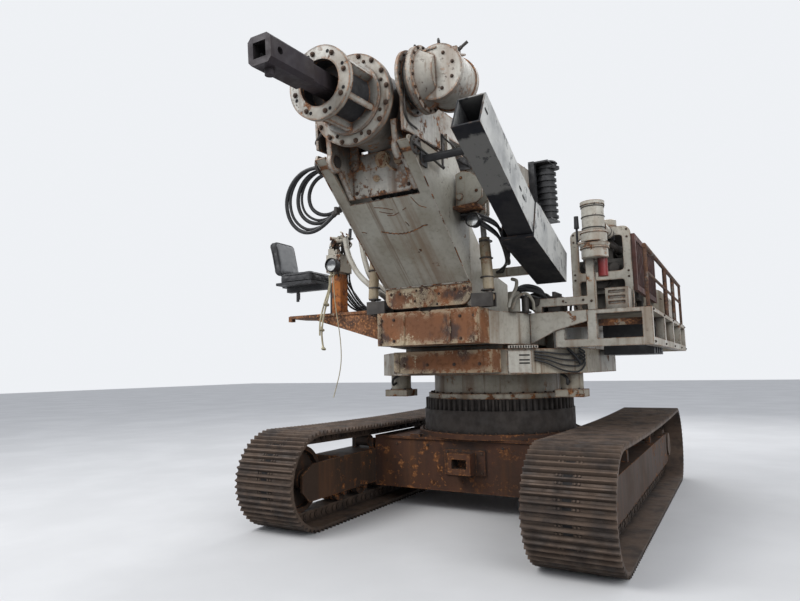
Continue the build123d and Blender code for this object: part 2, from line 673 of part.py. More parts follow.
def shaft_guard():
    x0, x1 = 920, 1150
    top_low, top_high = (-3225, 3316), (-3087, 3585)
    knee_low, knee_high = (-2048, 2710), (-1910, 2980)
    outer = side_plate([top_low, knee_low, knee_high, top_high], x0, x1)
    wall = 14
    run = Vector(0, knee_low[0] - top_low[0], knee_low[1] - top_low[1]).normalized()
    lift = Vector(0, -run.Z, run.Y)
    hollow = [(top_low[0] - run.Y * 30 + lift.Y * wall, top_low[1] - run.Z * 30 + lift.Z * wall),
              (knee_low[0] + lift.Y * wall, knee_low[1] + lift.Z * wall),
              (knee_high[0] - lift.Y * wall, knee_high[1] - lift.Z * wall),
              (top_high[0] - run.Y * 30 - lift.Y * wall, top_high[1] - run.Z * 30 - lift.Z * wall)]
    beam = outer - side_plate(hollow, x0 + wall, x1 - wall)
    foot = [(-2100, 2690), (-1060, 2420), (-990, 2720), (-1860, 3010), (-1990, 3020)]
    shoe = side_plate(foot, x0 - 60, x1 + 12)
    shoe -= side_plate([(-2150, 2735), (-1040, 2445), (-970, 2690), (-1860, 2985), (-2030, 3040)],
                       x0 - 46, x1 - 2)
    shoe -= side_plate([top_low, knee_low, knee_high, top_high], x0 - 0.01, x1 + 0.01)
    strut = cylinder((ARM_HALF + SEAT, -2790, 3300), (x0 + wall / 2, -2790, 3300), 32)
    strut += block(ARM_HALF + SEAT, ARM_HALF + 14, -2850, -2730, 3240, 3360)
    return beam + shoe + strut


# Mast head, drawn level and then drooped about its pivot
def droop(shape):
    return Pos(0, PIVOT_Y, PIVOT_Z) * Rot(X=DROOP) * Pos(0, -PIVOT_Y, -PIVOT_Z) * shape


def along_kelly(y0, y1, radius):
    return cylinder((0, y0, KELLY_Z), (0, y1, KELLY_Z), radius)


def rotary_case():
    case = along_kelly(CASE_FRONT, CASE_REAR, CASE_RADIUS)
    case += along_kelly(CASE_FRONT - FLANGE_DEPTH, CASE_FRONT + 20, FLANGE_RADIUS)
    case += along_kelly(CASE_REAR - 40, CASE_REAR, FLANGE_RADIUS - 30)
    return case - along_kelly(CASE_FRONT - FLANGE_DEPTH - 1, CASE_REAR + 1, QUILL_RADIUS + RUNNING)


def head_cheeks():
    # Side cheeks and ribs that hold the case
    solids = []
    for side in SIDES:
        cheek = side_plate([(CASE_FRONT + 50, PIVOT_Z + 105), (CASE_REAR - 50, PIVOT_Z + 105),
                            (CASE_REAR - 50, KELLY_Z + 40), (CASE_REAR - 160, KELLY_Z + 120),
                            (CASE_FRONT + 50, KELLY_Z + 120)], 410, 435)
        body = cheek
        for y in (CASE_FRONT + 200, CASE_REAR - 150):
            body += block(CASE_RADIUS - 85, 435, y, y + 30, LUG_TOP + SEAT, KELLY_Z + 100) - case_room()
        body += block(CASE_RADIUS + SEAT, 435, CASE_FRONT + 200, CASE_REAR - 120, KELLY_Z - 15, KELLY_Z + 15)
        solids.append(body if side > 0 else mirrored(body))
    return solids


def case_room():
    room = along_kelly(CASE_FRONT + 20, CASE_REAR - 40, CASE_RADIUS + SEAT)
    return room + along_kelly(CASE_REAR - 40 - SEAT, CASE_REAR + 1, FLANGE_RADIUS - 30 + SEAT)


def head_lugs():
    # Pivot lugs, foot plate and the lifting cylinders' lugs below the case
    frame = None
    for side in SIDES:
        lug = side_plate([(PIVOT_Y - 70, PIVOT_Z + 30), (PIVOT_Y - 85, LUG_TOP), (PIVOT_Y + 400, LUG_TOP),
                          (PIVOT_Y + 330, PIVOT_Z - 120), (PIVOT_Y + 270, PIVOT_Z - 290),
                          (PIVOT_Y + 235, PIVOT_Z - 290), (PIVOT_Y + 60, PIVOT_Z - 60)], 300, 350)
        lug += cylinder((300, PIVOT_Y, PIVOT_Z), (350, PIVOT_Y, PIVOT_Z), 90)
        lug = lug if side > 0 else mirrored(lug)
        frame = lug if frame is None else frame + lug
    foot = Plane.XZ * Pos(0, PIVOT_Z - 95) * RectangleRounded(604, 390, 50)
    frame += Pos(0, PIVOT_Y + 240, 0) * extrude(foot, 25, dir=(0, 1, 0))
    y, z = PIVOT_Y + LIFT_LUG_BACK, PIVOT_Z + LIFT_LUG_RISE
    frame += block(-320, 320, y - 240, y + 20, z + EYE_DRIFT, z + EYE_DRIFT + 25)
    for side in SIDES:
        for offset in (-EYE_WIDTH / 2 - 27, EYE_WIDTH / 2 + 2):
            x = side * LIFT_X + offset
            frame += side_plate([(y - 120, z + 200), (y - 55, z - 50), (y + 55, z - 50), (y + 20, z + 90),
                                 (y + 20, z + 200)], x, x + 25)
            frame -= cylinder((x - 1, y, z), (x + 26, y, z), LIFT_PIN)
    frame -= case_room()
    pivot = cylinder((200, PIVOT_Y, PIVOT_Z), (400, PIVOT_Y, PIVOT_Z), PIVOT_PIN + RUNNING)
    return frame - pivot - mirrored(pivot)


def across(x0, x1, radius):
    # Disc of the elbow gearbox, on its cross axis
    return cylinder((x0, ELBOW_Y, ELBOW_Z), (x1, ELBOW_Y, ELBOW_Z), radius)


def elbow_line(y0, y1, radius):
    return cylinder((ELBOW_X, y0, ELBOW_Z), (ELBOW_X, y1, ELBOW_Z), radius)


def elbow_gearbox():
    # Neck out of the cheek, flanged bell, and barrel along the machine
    neck = across(435 + SEAT, 560, 200) + across(435 + SEAT, 462, 262)
    flange = across(535, 585, 268)
    bell = Plane(origin=(580, ELBOW_Y, ELBOW_Z), z_dir=(1, 0, 0)) * Cone(
        235, 165, 130, align=(Align.CENTER, Align.CENTER, Align.MIN))
    barrel = elbow_line(ELBOW_FRONT, ELBOW_REAR, ELBOW_RADIUS - 14)
    barrel += elbow_line(ELBOW_REAR - 42, ELBOW_REAR, ELBOW_RADIUS)
    barrel += elbow_line(ELBOW_FRONT, ELBOW_FRONT + 35, ELBOW_RADIUS - 4)
    barrel += elbow_line(ELBOW_REAR, ELBOW_REAR + 60, 120)
    return neck + flange + bell + barrel


def pivot_pins():
    pin = cylinder((290, PIVOT_Y, PIVOT_Z), (ARM_HALF + 20, PIVOT_Y, PIVOT_Z), PIVOT_PIN)
    cap = cylinder((ARM_HALF + SEAT, PIVOT_Y, PIVOT_Z), (ARM_HALF + 22, PIVOT_Y, PIVOT_Z), 78)
    return [pin + cap, mirrored(pin + cap)]


def quill():
    front = RING_FACE + 42
    back = CASE_FRONT - FLANGE_DEPTH - SIDE_GAP
    ring = along_kelly(RING_FACE, front, RING_OUTER) - along_kelly(RING_FACE - 1, front + 1, RING_INNER)
    disc = along_kelly(back - 30, back, RING_OUTER + 10)
    journal = along_kelly(back - 1, CASE_REAR + 30, QUILL_RADIUS)
    tube = along_kelly(front + 120, back, 205)
    cage = ring + disc + journal + tube
    for number in range(6):
        angle = 60 * number + 30
        rib = block(186, 272, front - 1, back - 15, -22, 22)
        cage += Pos(0, 0, KELLY_Z) * Rot(Y=angle) * rib
    hole = KELLY_SIDE + 2 * 2.0
    cage -= block(-hole / 2, hole / 2, RING_FACE - 1, CASE_REAR + 31, KELLY_Z - hole / 2, KELLY_Z + hole / 2)
    return cage


def kelly():
    half, box = KELLY_SIDE / 2, KELLY_BOX / 2
    end = MAST_REAR - 175
    neck_end = KELLY_TIP + KELLY_BOX_LENGTH
    bar = block(-half, half, neck_end - 20, end, KELLY_Z - half, KELLY_Z + half)
    bar = chamfer(bar.edges().filter_by(Axis.Y), 12)
    head = block(-box, box, KELLY_TIP, neck_end, KELLY_Z - box, KELLY_Z + box)
    head = chamfer(head.edges().filter_by(Axis.Y), 30)
    head = head + cylinder((0, KELLY_TIP + 95, KELLY_Z - box - 45), (0, KELLY_TIP + 95, KELLY_Z), 34)
    socket = block(-55, 55, KELLY_TIP - 1, KELLY_TIP + 150, KELLY_Z - 55, KELLY_Z + 55)
    hole = cylinder((-box - 60, KELLY_TIP + 95, KELLY_Z), (box + 60, KELLY_TIP + 95, KELLY_Z), KELLY_PIN)
    journal = along_kelly(end - 1, MAST_REAR - 60, 55)
    return bar + (head - socket - hole) + journal


def mast_frame():
    front = CASE_REAR + SEAT
    base = block(-RAIL_INNER - RAIL_WIDTH, RAIL_INNER + RAIL_WIDTH, front, front + 40, KELLY_Z - 300, KELLY_Z + 260)
    base -= along_kelly(front - 1, front + 41, QUILL_RADIUS + 8)
    frame = base
    for side in SIDES:
        x0, x1 = side * RAIL_INNER, side * (RAIL_INNER + RAIL_WIDTH)
        frame += block(x0, x1, front + 20, MAST_REAR, KELLY_Z - RAIL_HEIGHT / 2, KELLY_Z + RAIL_HEIGHT / 2)
    for y in (-1650, -900, -150, MAST_REAR - 60):
        frame += block(-RAIL_INNER - 60, RAIL_INNER + 60, y, y + 60, KELLY_Z - RAIL_HEIGHT / 2 - 70,
                       KELLY_Z - RAIL_HEIGHT / 2 + 1)
    return frame


def crowd_barrels():
    y0, y1 = CASE_REAR + 60, MAST_REAR - 260 - KELLY_STROKE
    solids = []
    for side in SIDES:
        x = side * 180
        solids.append(cylinder((x, CASE_REAR + 40 + SEAT + SEAT, KELLY_Z), (x, y0, KELLY_Z), 40)
                      + cylinder((x, y0, KELLY_Z), (x, y1, KELLY_Z), 52)
                      - cylinder((x, y0 + 60, KELLY_Z), (x, y1 + 1, KELLY_Z), 30))
    return solids


def crosshead():
    y0, y1 = MAST_REAR - 170, MAST_REAR - 20
    body = block(-RAIL_INNER + SIDE_GAP, RAIL_INNER - SIDE_GAP, y0, y1, KELLY_Z - 110, KELLY_Z + 110)
    body -= along_kelly(y0 - 1, MAST_REAR - 60 + 5, 55 + RUNNING)
    for side in SIDES:
        x = side * 180
        body += cylinder((x, y1 - 20, KELLY_Z), (x, CASE_REAR + 130 + KELLY_STROKE, KELLY_Z), 30 - RUNNING)
    return body


def mast_tail():
    # Dark end frame beside the mast, with a ribbed stack under a flat lid and a round cap
    x0 = RAIL_INNER + RAIL_WIDTH + SEAT
    y1 = MAST_REAR - 60
    low, high = KELLY_Z - 560, KELLY_Z + 190
    frame = block(x0, x0 + 20, y1 - 480, y1, KELLY_Z - 300, high)
    frame += block(x0, x0 + 75, y1 - 470, y1 - 385, low, high + 30)
    frame += block(x0, x0 + 260, y1 - 470, y1 - 40, high, high + 20)
    frame += block(x0, x0 + 260, y1 - 470, y1 - 40, low, low + 20)
    x, y = x0 + 150, y1 - 215
    frame += cylinder((x, y, low + 10), (x, y, high + 10), 118)
    for number in range(STACK_RIBS):
        z = low + 55 + number * (high - low - 90) / (STACK_RIBS - 1)
        frame += cylinder((x, y, z - 16), (x, y, z + 16), 140)
    frame += cylinder((x + 95, y, high - 60), (x + 95, y, high - 30), 95)
    frame += cylinder((x + 95, y, high - 30), (x + 95, y, high + 5), 60)
    return frame


# Work done by the cylinders
def lift_points():
    tilt = math.radians(DROOP)
    back, rise = LIFT_LUG_BACK, LIFT_LUG_RISE
    y = PIVOT_Y + back * math.cos(tilt) - rise * math.sin(tilt)
    z = PIVOT_Z + back * math.sin(tilt) + rise * math.cos(tilt)
    return (LIFT_BASE_Y, LIFT_BASE_Z), (y, z)


def lift_barrels():
    (y0, z0), (y1, z1) = lift_points()
    run = Vector(0, y1 - y0, z1 - z0).normalized()
    solids = []
    for side in SIDES:
        x = side * LIFT_X
        eye = cylinder((x - EYE_WIDTH / 2, y0, z0), (x + EYE_WIDTH / 2, y0, z0), 70)
        eye += cylinder((x, y0 + run.Y * 50, z0 + run.Z * 50), (x, y0 + run.Y * 125, z0 + run.Z * 125), 42)
        start = (x, y0 + run.Y * 120, z0 + run.Z * 120)
        end = (x, y0 + run.Y * LIFT_BARREL_LENGTH, z0 + run.Z * LIFT_BARREL_LENGTH)
        mouth = (x, y0 + run.Y * (LIFT_BARREL_LENGTH + 1), z0 + run.Z * (LIFT_BARREL_LENGTH + 1))
        bottom = (x, y0 + run.Y * 180, z0 + run.Z * 180)
        barrel = eye + cylinder(start, end, LIFT_BARREL) - cylinder(bottom, mouth, LIFT_ROD + RUNNING)
        barrel -= cylinder((x - 60, y0, z0), (x + 60, y0, z0), LIFT_PIN + RUNNING)
        solids.append(barrel)
    return solids


def lift_rods():
    (y0, z0), (y1, z1) = lift_points()
    run = Vector(0, y1 - y0, z1 - z0).normalized()
    solids = []
    for side in SIDES:
        x = side * LIFT_X
        eye = cylinder((x - EYE_WIDTH / 2, y1, z1), (x + EYE_WIDTH / 2, y1, z1), 62)
        start = (x, y0 + run.Y * 200, z0 + run.Z * 200)
        end = (x, y1 - run.Y * 45, z1 - run.Z * 45)
        solids.append(eye + cylinder(start, end, LIFT_ROD))
    return solids


def tilt_barrel(side):
    x0, z0 = side * TILT_BASE_X, TILT_BASE_Z
    x1, z1 = side * TILT_TOP_X, TILT_TOP_Z
    y = TILT_CYL_Y
    run = Vector(x1 - x0, 0, z1 - z0).normalized()
    eye = cylinder((x0, y - 25, z0), (x0, y + 25, z0), 42)
    end = (x0 + run.X * TILT_BARREL_LENGTH, y, z0 + run.Z * TILT_BARREL_LENGTH)
    start = (x0 + run.X * 70, y, z0 + run.Z * 70)
    neck = cylinder((x0 + run.X * 30, y, z0 + run.Z * 30), start, 24)
    body = eye + neck + cylinder(start, end, TILT_BARREL)
    mouth = (end[0] + run.X, y, end[2] + run.Z)
    bottom = (x0 + run.X * 110, y, z0 + run.Z * 110)
    body -= cylinder(bottom, mouth, TILT_ROD + RUNNING)
    return body - cylinder((x0, y - 26, z0), (x0, y + 26, z0), TILT_CYL_PIN + RUNNING)


def tilt_rod(side):
    x0, z0 = side * TILT_BASE_X, TILT_BASE_Z
    x1, z1 = side * TILT_TOP_X, TILT_TOP_Z
    y = TILT_CYL_Y
    run = Vector(x1 - x0, 0, z1 - z0).normalized()
    eye = cylinder((x1, y - 25, z1), (x1, y + 25, z1), 42)
    start = (x0 + run.X * 190, y, z0 + run.Z * 190)
    end = (x1 - run.X * 35, y, z1 - run.Z * 35)
    return eye + cylinder(start, end, TILT_ROD)


def tilt_base_lugs(side):
    x, z, y = side * TILT_BASE_X, TILT_BASE_Z, TILT_CYL_Y
    inner = side * (ARM_HALF + 8)
    lugs = block(inner, side * (TILT_BASE_X + 45), y + 30, y + 55, DECK_TOP + 15 + SEAT, z + 40)
    lugs += block(inner, side * (TILT_BASE_X + 45), y - 55, y - 30, DECK_TOP + 15 + SEAT, z + 40)
    lugs += block(inner, side * (BEAM_HALF - 5), y - 55, y + 55, DECK_TOP + 15 + SEAT, DECK_TOP + 40)
    return lugs + cylinder((x, y - 55, z), (x, y + 55, z), TILT_CYL_PIN)


def tilt_top_lugs(side):
    x, z, y = side * TILT_TOP_X, TILT_TOP_Z, TILT_CYL_Y
    inner, outer = ARM_HALF + SEAT, TILT_TOP_X + 60
    bracket = block(side * inner, side * (inner + 22), y - 55, y + 55, z - 60, z + 330)
    for y0 in (y + 30, y - 55):
        points = [(side * inner, z - 60), (side * (outer - 20), z - 60), (side * outer, z - 20),
                  (side * outer, z + 120), (side * (outer - 70), z + 330), (side * inner, z + 330)]
        bracket += front_plate(points, y0, y0 + 25)
    return bracket - cylinder((x, y - 56, z), (x, y + 56, z), TILT_CYL_PIN)


# Hoses, guard tubes and hanging ropes
HOSE = 36.0
HOSE_FITTING = 25.0
HOSE_ROUTES = (
    ((-520, -2820, 3415), (-690, -2825, 3435), (-865, -2835, 3350), (-960, -2835, 3170), (-935, -2810, 2965),
     (-800, -2775, 2835), (-620, -2735, 2865), (-515, -2700, 2985)),
    ((-520, -2765, 3410), (-665, -2765, 3420), (-805, -2775, 3335), (-868, -2780, 3180), (-840, -2765, 3020),
     (-725, -2730, 2925), (-590, -2670, 2950), (-505, -2620, 3045)),
    ((-520, -2710, 3395), (-640, -2710, 3390), (-745, -2718, 3310), (-785, -2718, 3190), (-750, -2705, 3070),
     (-650, -2665, 3010), (-555, -2600, 3045), (-505, -2545, 3125)),
)
ROPE = 20.0
LINE = 10.0
ROPE_ROUTE = ((-1165, -1850, 2640), (-1165, -1850, 2490), (-1225, -1855, 2300), (-1278, -1855, 2110),
              (-1295, -1855, 1940), (-1268, -1850, 1805))
LINE_ROUTE = ((-1130, -1850, 2640), (-1130, -1850, 2520), (-1120, -1855, 2390), (-1102, -1855, 2250),
              (-1078, -1855, 2110), (-1055, -1850, 1970), (-1040, -1850, 1830), (-1036, -1850, 1690),
              (-1055, -1855, 1550), (-1095, -1855, 1425), (-1140, -1850, 1300))


def cord_path(points):
    points = [Vector(*point) for point in points]
    radii = []
    for before, here, after in zip(points, points[1:], points[2:]):
        run = min((here - before).length, (after - here).length)
        turn = math.radians((here - before).get_angle(after - here))
        radii.append(0.45 * run / math.tan(turn / 2))
    return FilletPolyline(*points, radius=radii), radii


def cord(name, points, diameter):
    path, radii = cord_path(points)
    profile = Plane(origin=path @ 0, z_dir=path % 0) * Circle(diameter / 2)
    tube = sweep(profile, path=path)
    expected = math.pi * diameter ** 2 / 4 * path.length
    print(name, "length", round(path.length), "radii", [round(radius) for radius in radii],
          "volume ratio", round(tube.volume / expected, 4))
    return tube


def hose_fitting(end, neighbour):
    # Round fitting that carries on from the hose's end, down to a pad on the arm's wall
    end, neighbour = Vector(*end), Vector(*neighbour)
    run = (end - neighbour).normalized()
    far = end + run * 60
    fitting = cylinder((end.X, end.Y, end.Z), (far.X, far.Y, far.Z), HOSE_FITTING)
    fitting += block(-ARM_HALF - 28, -ARM_HALF, far.Y - 27, far.Y + 27, far.Z - 32, far.Z + 32)
    return fitting - block(-ARM_HALF - SEAT, 0, far.Y - 100, far.Y + 100, far.Z - 100, far.Z + 100)


def hose_fittings():
    solids = []
    for route in HOSE_ROUTES:
        solids.append(hose_fitting(route[0], route[1]))
        solids.append(hose_fitting(route[-1], route[-2]))
    return solids


GUARD_TUBE = 30.0
GUARD_TUBE_ROUTES = (
    ((-1081, -1700, 3036), (-1043, -1700, 2840), (-915, -1700, 2607), (-700, -1700, 2427), (-560, -1700, 2330),
     (-510, -1700, 2240), (-510, -1700, DECK_TOP + 15 + SEAT)),
    ((-923, -1620, 3007), (-886, -1620, 2802), (-812, -1620, 2573), (-625, -1620, 2404), (-530, -1620, 2320),
     (-490, -1620, 2220), (-490, -1620, DECK_TOP + SEAT)),
)


def guard_tubes():
    solids = []
    for points in GUARD_TUBE_ROUTES:
        path, radii = cord_path(points)
        profile = Plane(origin=path @ 0, z_dir=path % 0) * Circle(GUARD_TUBE)
        solids.append(sweep(profile, path=path))
    return solids


def build():
    nodes = {}
    for side, name in ((1, "left"), (-1, "right")):
        nodes["track_" + name] = [track(side)]
    nodes["track_frames"] = [side_frame(side) for side in SIDES]
    nodes["sprockets"] = [sprocket(side) for side in SIDES]
    nodes["idlers"] = [idler(side) for side in SIDES]
    nodes["track_rollers"] = track_rollers(-1) + track_rollers(1)
    nodes["car_body"] = [car_body()]
    nodes["tow_hitch"] = [tow_hitch()]
    nodes["swing_ring"] = [swing_ring()]

    nodes["revolving_base"] = [revolving_base()]
    nodes["swing_motors"] = swing_motors()
    nodes["lower_bumper"] = [lower_bumper()]
    nodes["front_beam"] = [front_beam()]
    nodes["deck_frame"] = [deck_frame()]
    nodes["side_platform"] = side_platform()
    nodes["upright_frame"] = [upright_frame()]
    nodes["air_cleaner"] = [air_cleaner()]
    nodes["handrails"] = [handrails()]
    nodes["engine"] = [engine()]
    nodes["engine_frame"] = engine_frame()
    nodes["side_grille"] = [side_grille()]
    nodes["battery_box"] = [battery_box()]
    nodes["rear_tank"] = [rear_tank()]
    nodes["operator_platform"] = [operator_platform()]
    nodes["seat_post"] = [seat_post() + seat_bracket()]
    nodes["seat_cushion"] = [seat_cushion()]
    nodes["seat_back"] = [seat_back()]
    nodes["controls"] = [controls()]
    nodes["guard_tubes"] = guard_tubes()
    nodes["left_lamp"] = [work_lamp(-1151, -1860, 2718, 75, (-1151, -1753 - SEAT, 2718)) + cord_hook()]
    nodes["rope"] = [cord("rope", ROPE_ROUTE, ROPE)]
    nodes["thin_line"] = [cord("thin line", LINE_ROUTE, LINE)]
    nodes["tilt_bearings"] = tilt_bearings() + [tilt_base_lugs(side) for side in SIDES]

    nodes["arm_box"] = [arm_box()]
    nodes["arm_foot"] = [arm_foot()]
    nodes["tilt_frame"] = [tilt_frame()]
    nodes["shaft_guard"] = [shaft_guard()]
    nodes["pivot_pins"] = pivot_pins()
    nodes["right_lamp"] = [work_lamp(600, -2090, 2918, 68, (ARM_HALF + 13 + SEAT, -2035, 2960))]
    nodes["tilt_brackets"] = [tilt_top_lugs(side) for side in SIDES]
    nodes["hose_fittings"] = hose_fittings()
    for number, route in enumerate(HOSE_ROUTES, 1):
        nodes["hose_" + str(number)] = [cord("hose " + str(number), route, HOSE)]
    for side, name in ((1, "left"), (-1, "right")):
        nodes["tilt_barrel_" + name] = [tilt_barrel(side)]
        nodes["tilt_rod_" + name] = [tilt_rod(side)]
    nodes["lift_barrels"] = lift_barrels()
    nodes["lift_rods"] = lift_rods()

    nodes["rotary_case"] = [droop(rotary_case())]
    nodes["head_cheeks"] = [droop(cheek) for cheek in head_cheeks()]
    nodes["head_lugs"] = [droop(head_lugs())]
    nodes["elbow_gearbox"] = [droop(elbow_gearbox())]
    nodes["quill"] = [droop(quill())]
    nodes["kelly"] = [droop(kelly())]
    nodes["mast_frame"] = [droop(mast_frame())]
    nodes["crowd_barrels"] = [droop(barrel) for barrel in crowd_barrels()]
    nodes["crosshead"] = [droop(crosshead())]
    nodes["mast_tail"] = [droop(mast_tail())]
    return nodes


CORDS = ("hose_1", "hose_2", "hose_3", "rope", "thin_line")


def centre_offset(nodes):
    # Brings the middle of the machine's outer box, without its free cords, over the origin
    boxes = [solid.bounding_box() for name in nodes if name not in CORDS for solid in nodes[name]]
    x0, x1 = min(box.min.X for box in boxes), max(box.max.X for box in boxes)
    y0, y1 = min(box.min.Y for box in boxes), max(box.max.Y for box in boxes)
    return Vector(-(x0 + x1) / 2, -(y0 + y1) / 2, -min(box.min.Z for box in boxes))


def save(nodes):
    os.makedirs("parts", exist_ok=True)
    offset = centre_offset(nodes)
    print("offset", offset)
    for name, solids in nodes.items():
        placed = [Pos(offset) * solid for solid in solids]
        shape = placed[0] if len(placed) == 1 else Compound(children=placed)
        export_step(shape, "parts/" + name + ".step")


if __name__ == "__main__":
    save(build())
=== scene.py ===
import bpy, bmesh, math, random
from functools import partial
from itertools import product
from mathutils import Vector, Matrix
from mathutils.bvhtree import BVHTree


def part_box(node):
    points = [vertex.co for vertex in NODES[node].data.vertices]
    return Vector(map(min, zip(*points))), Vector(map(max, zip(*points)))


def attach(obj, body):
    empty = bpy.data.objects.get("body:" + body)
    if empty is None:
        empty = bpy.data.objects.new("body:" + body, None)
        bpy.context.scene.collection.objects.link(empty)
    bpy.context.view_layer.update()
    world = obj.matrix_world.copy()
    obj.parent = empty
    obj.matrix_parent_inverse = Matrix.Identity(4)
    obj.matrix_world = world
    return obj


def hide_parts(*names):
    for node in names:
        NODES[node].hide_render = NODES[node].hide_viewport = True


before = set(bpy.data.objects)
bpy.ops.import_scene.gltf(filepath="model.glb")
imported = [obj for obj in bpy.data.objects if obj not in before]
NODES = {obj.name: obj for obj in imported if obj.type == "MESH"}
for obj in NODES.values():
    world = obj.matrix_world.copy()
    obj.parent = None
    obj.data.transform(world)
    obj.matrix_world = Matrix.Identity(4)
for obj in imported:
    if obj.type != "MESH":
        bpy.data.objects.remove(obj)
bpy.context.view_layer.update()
SCENE = bpy.context.scene

# Everything below is laid out with the swing axis at x = y = 0, in metres, and moved by SHIFT
ring_low, ring_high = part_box("swing_ring")
SHIFT = Vector(((ring_low.x + ring_high.x) / 2, (ring_low.y + ring_high.y) / 2, 0))
# The ways of the frame, where the machine faces FRONT and LEFT is its own left
LEFT, BACK, FRONT, UP, DOWN = (1, 0, 0), (0, 1, 0), (0, -1, 0), (0, 0, 1), (0, 0, -1)


def at(x, y, z):
    return Vector((x, y, z)) + SHIFT


# Camera at the photograph's view, its turns in degrees
CAMERA_PLACE = (2.642, -7.039, 1.577)
YAW, PITCH, ROLL = -29.65, 6.61, -1.09
FOCAL_PIXELS, PHOTO_WIDTH, SENSOR_WIDTH = 597.6, 800, 36


def place_object(name, data):
    made = bpy.data.objects.new(name, data)
    SCENE.collection.objects.link(made)
    return made


def make_camera():
    data = bpy.data.cameras.new("camera")
    data.lens = SENSOR_WIDTH * FOCAL_PIXELS / PHOTO_WIDTH
    data.clip_end = 200
    SCENE.camera = place_object("camera", data)
    turns = ((-YAW, "Z"), (90 + PITCH, "X"), (ROLL, "Z"))
    first, second, third = (Matrix.Rotation(math.radians(angle), 4, axis) for angle, axis in turns)
    SCENE.camera.matrix_world = Matrix.Translation(at(*CAMERA_PLACE)) @ first @ second @ third


make_camera()


# Materials: each helper adds its nodes to the tree of the sockets that it is given
def is_socket(value):
    return isinstance(value, bpy.types.NodeSocket)


def put(socket, value):
    # A link from another node, or a number or colour of the socket's own
    if is_socket(value):
        socket.id_data.links.new(value, socket)
    else:
        socket.default_value = (*value, 1) if socket.type == "RGBA" else value


def make(tree, kind, **inputs):
    made = tree.nodes.new("ShaderNode" + kind)
    for name, value in inputs.items():
        put(made.inputs[name.replace("_", " ")], value)
    return made


def ramp(source, low, high, low_value=0.0, high_value=1.0, kind="SMOOTHSTEP"):
    made = make(source.id_data, "MapRange", Value=source, From_Min=low, From_Max=high, To_Min=low_value,
                To_Max=high_value)
    made.interpolation_type = kind
    return made.outputs["Result"]


def maths(operation, first, second):
    made = make((first if is_socket(first) else second).id_data, "Math")
    made.operation = operation
    made.use_clamp = True
    put(made.inputs[0], first)
    put(made.inputs[1], second)
    return made.outputs[0]


times, plus, most = (partial(maths, operation) for operation in ("MULTIPLY", "ADD", "MAXIMUM"))


def mix(factor, first, second):
    made = make(next(value.id_data for value in (factor, first, second) if is_socket(value)), "Mix")
    made.data_type = "RGBA"
    for number, value in ((0, factor), (6, first), (7, second)):
        put(made.inputs[number], value)
    return made.outputs[2]


RUST_DARK, RUST_MID, RUST_LIGHT = (0.07, 0.032, 0.018), (0.235, 0.098, 0.042), (0.46, 0.2, 0.075)


class Look:
    # One material, whose noises are moved by its offset and each by its own shift
    def __init__(self, name, offset=0):
        self.material = bpy.data.materials.new(name)
        self.material.use_nodes = True
        self.tree, self.offset = self.material.node_tree, offset
        self.tree.nodes.clear()
        shader = make(self.tree, "BsdfPrincipled")
        self.inputs = shader.inputs
        make(self.tree, "OutputMaterial", Surface=shader.outputs[0])

    def noise(self, scale, detail=6, stretch=(1, 1, 1), roughness=0.55, shift=0):
        offset = self.offset + shift
        place = make(self.tree, "TexCoord").outputs["Object"]
        moved = (offset, offset * 0.7, offset * 0.3)
        spot = make(self.tree, "Mapping", Vector=place, Scale=stretch, Location=moved).outputs[0]
        made = make(self.tree, "TexNoise", Vector=spot, Scale=scale, Detail=detail, Roughness=roughness)
        return made.outputs["Fac"]

    def cloud(self, scale, detail, low, high, low_value=0.0, high_value=1.0, **more):
        # Noise that is cut off softly between two levels
        return ramp(self.noise(scale, detail, **more), low, high, low_value, high_value)

    def edges(self, radius):
        bevel = make(self.tree, "Bevel", Radius=radius)
        bevel.samples = 4
        dot = make(self.tree, "VectorMath")
        dot.operation = "DOT_PRODUCT"
        put(dot.inputs[0], bevel.outputs[0])
        put(dot.inputs[1], make(self.tree, "NewGeometry").outputs["Normal"])
        return ramp(dot.outputs["Value"], 0.995, 0.86)

    def painted_shade_mask(self, reach, low=0.4, high=0.86):
        # Mask of painted shade: one in corners and recesses, nothing in the open
        made = make(self.tree, "AmbientOcclusion", Distance=reach)
        made.samples = 6
        return ramp(made.outputs["AO"], high, low)

    def coordinate(self, kind, axis):
        place = make(self.tree, "TexCoord").outputs[kind]
        return make(self.tree, "SeparateXYZ", Vector=place).outputs[axis]

    def rust(self):
        patches = self.cloud(7, 8, 0.35, 0.68, shift=3)
        return mix(self.cloud(38, 5, 0.48, 0.66, shift=5), mix(patches, RUST_DARK, RUST_MID), RUST_LIGHT)

    def surface(self, colour, rough, height, strength, distance):
        raised = make(self.tree, "Bump", Strength=strength, Distance=distance, Height=height).outputs[0]
        for name, value in (("Base Color", colour), ("Roughness", rough), ("Normal", raised)):
            put(self.inputs[name], value)


def lamp_glass(name):
    # Dusty glass with a painted reflection of the sky: dark above and bright low down
    look = Look(name)
    sky_reflection = ramp(plus(look.coordinate("Generated", "Z"), times(look.noise(26, 3), 0.34)), 0.74, 0.4)
    look.surface(mix(sky_reflection, (0.075, 0.08, 0.085), (0.86, 0.87, 0.85)),
            look.cloud(18, 4, 0.3, 0.7, 0.06, 0.3), look.noise(55, 2, (1, 1, 0.05)), 0.5, 0.002)
    put(look.inputs["Metallic"], times(sky_reflection, 0.75))
    put(look.inputs["Coat Weight"], 0.6)
    return look.material


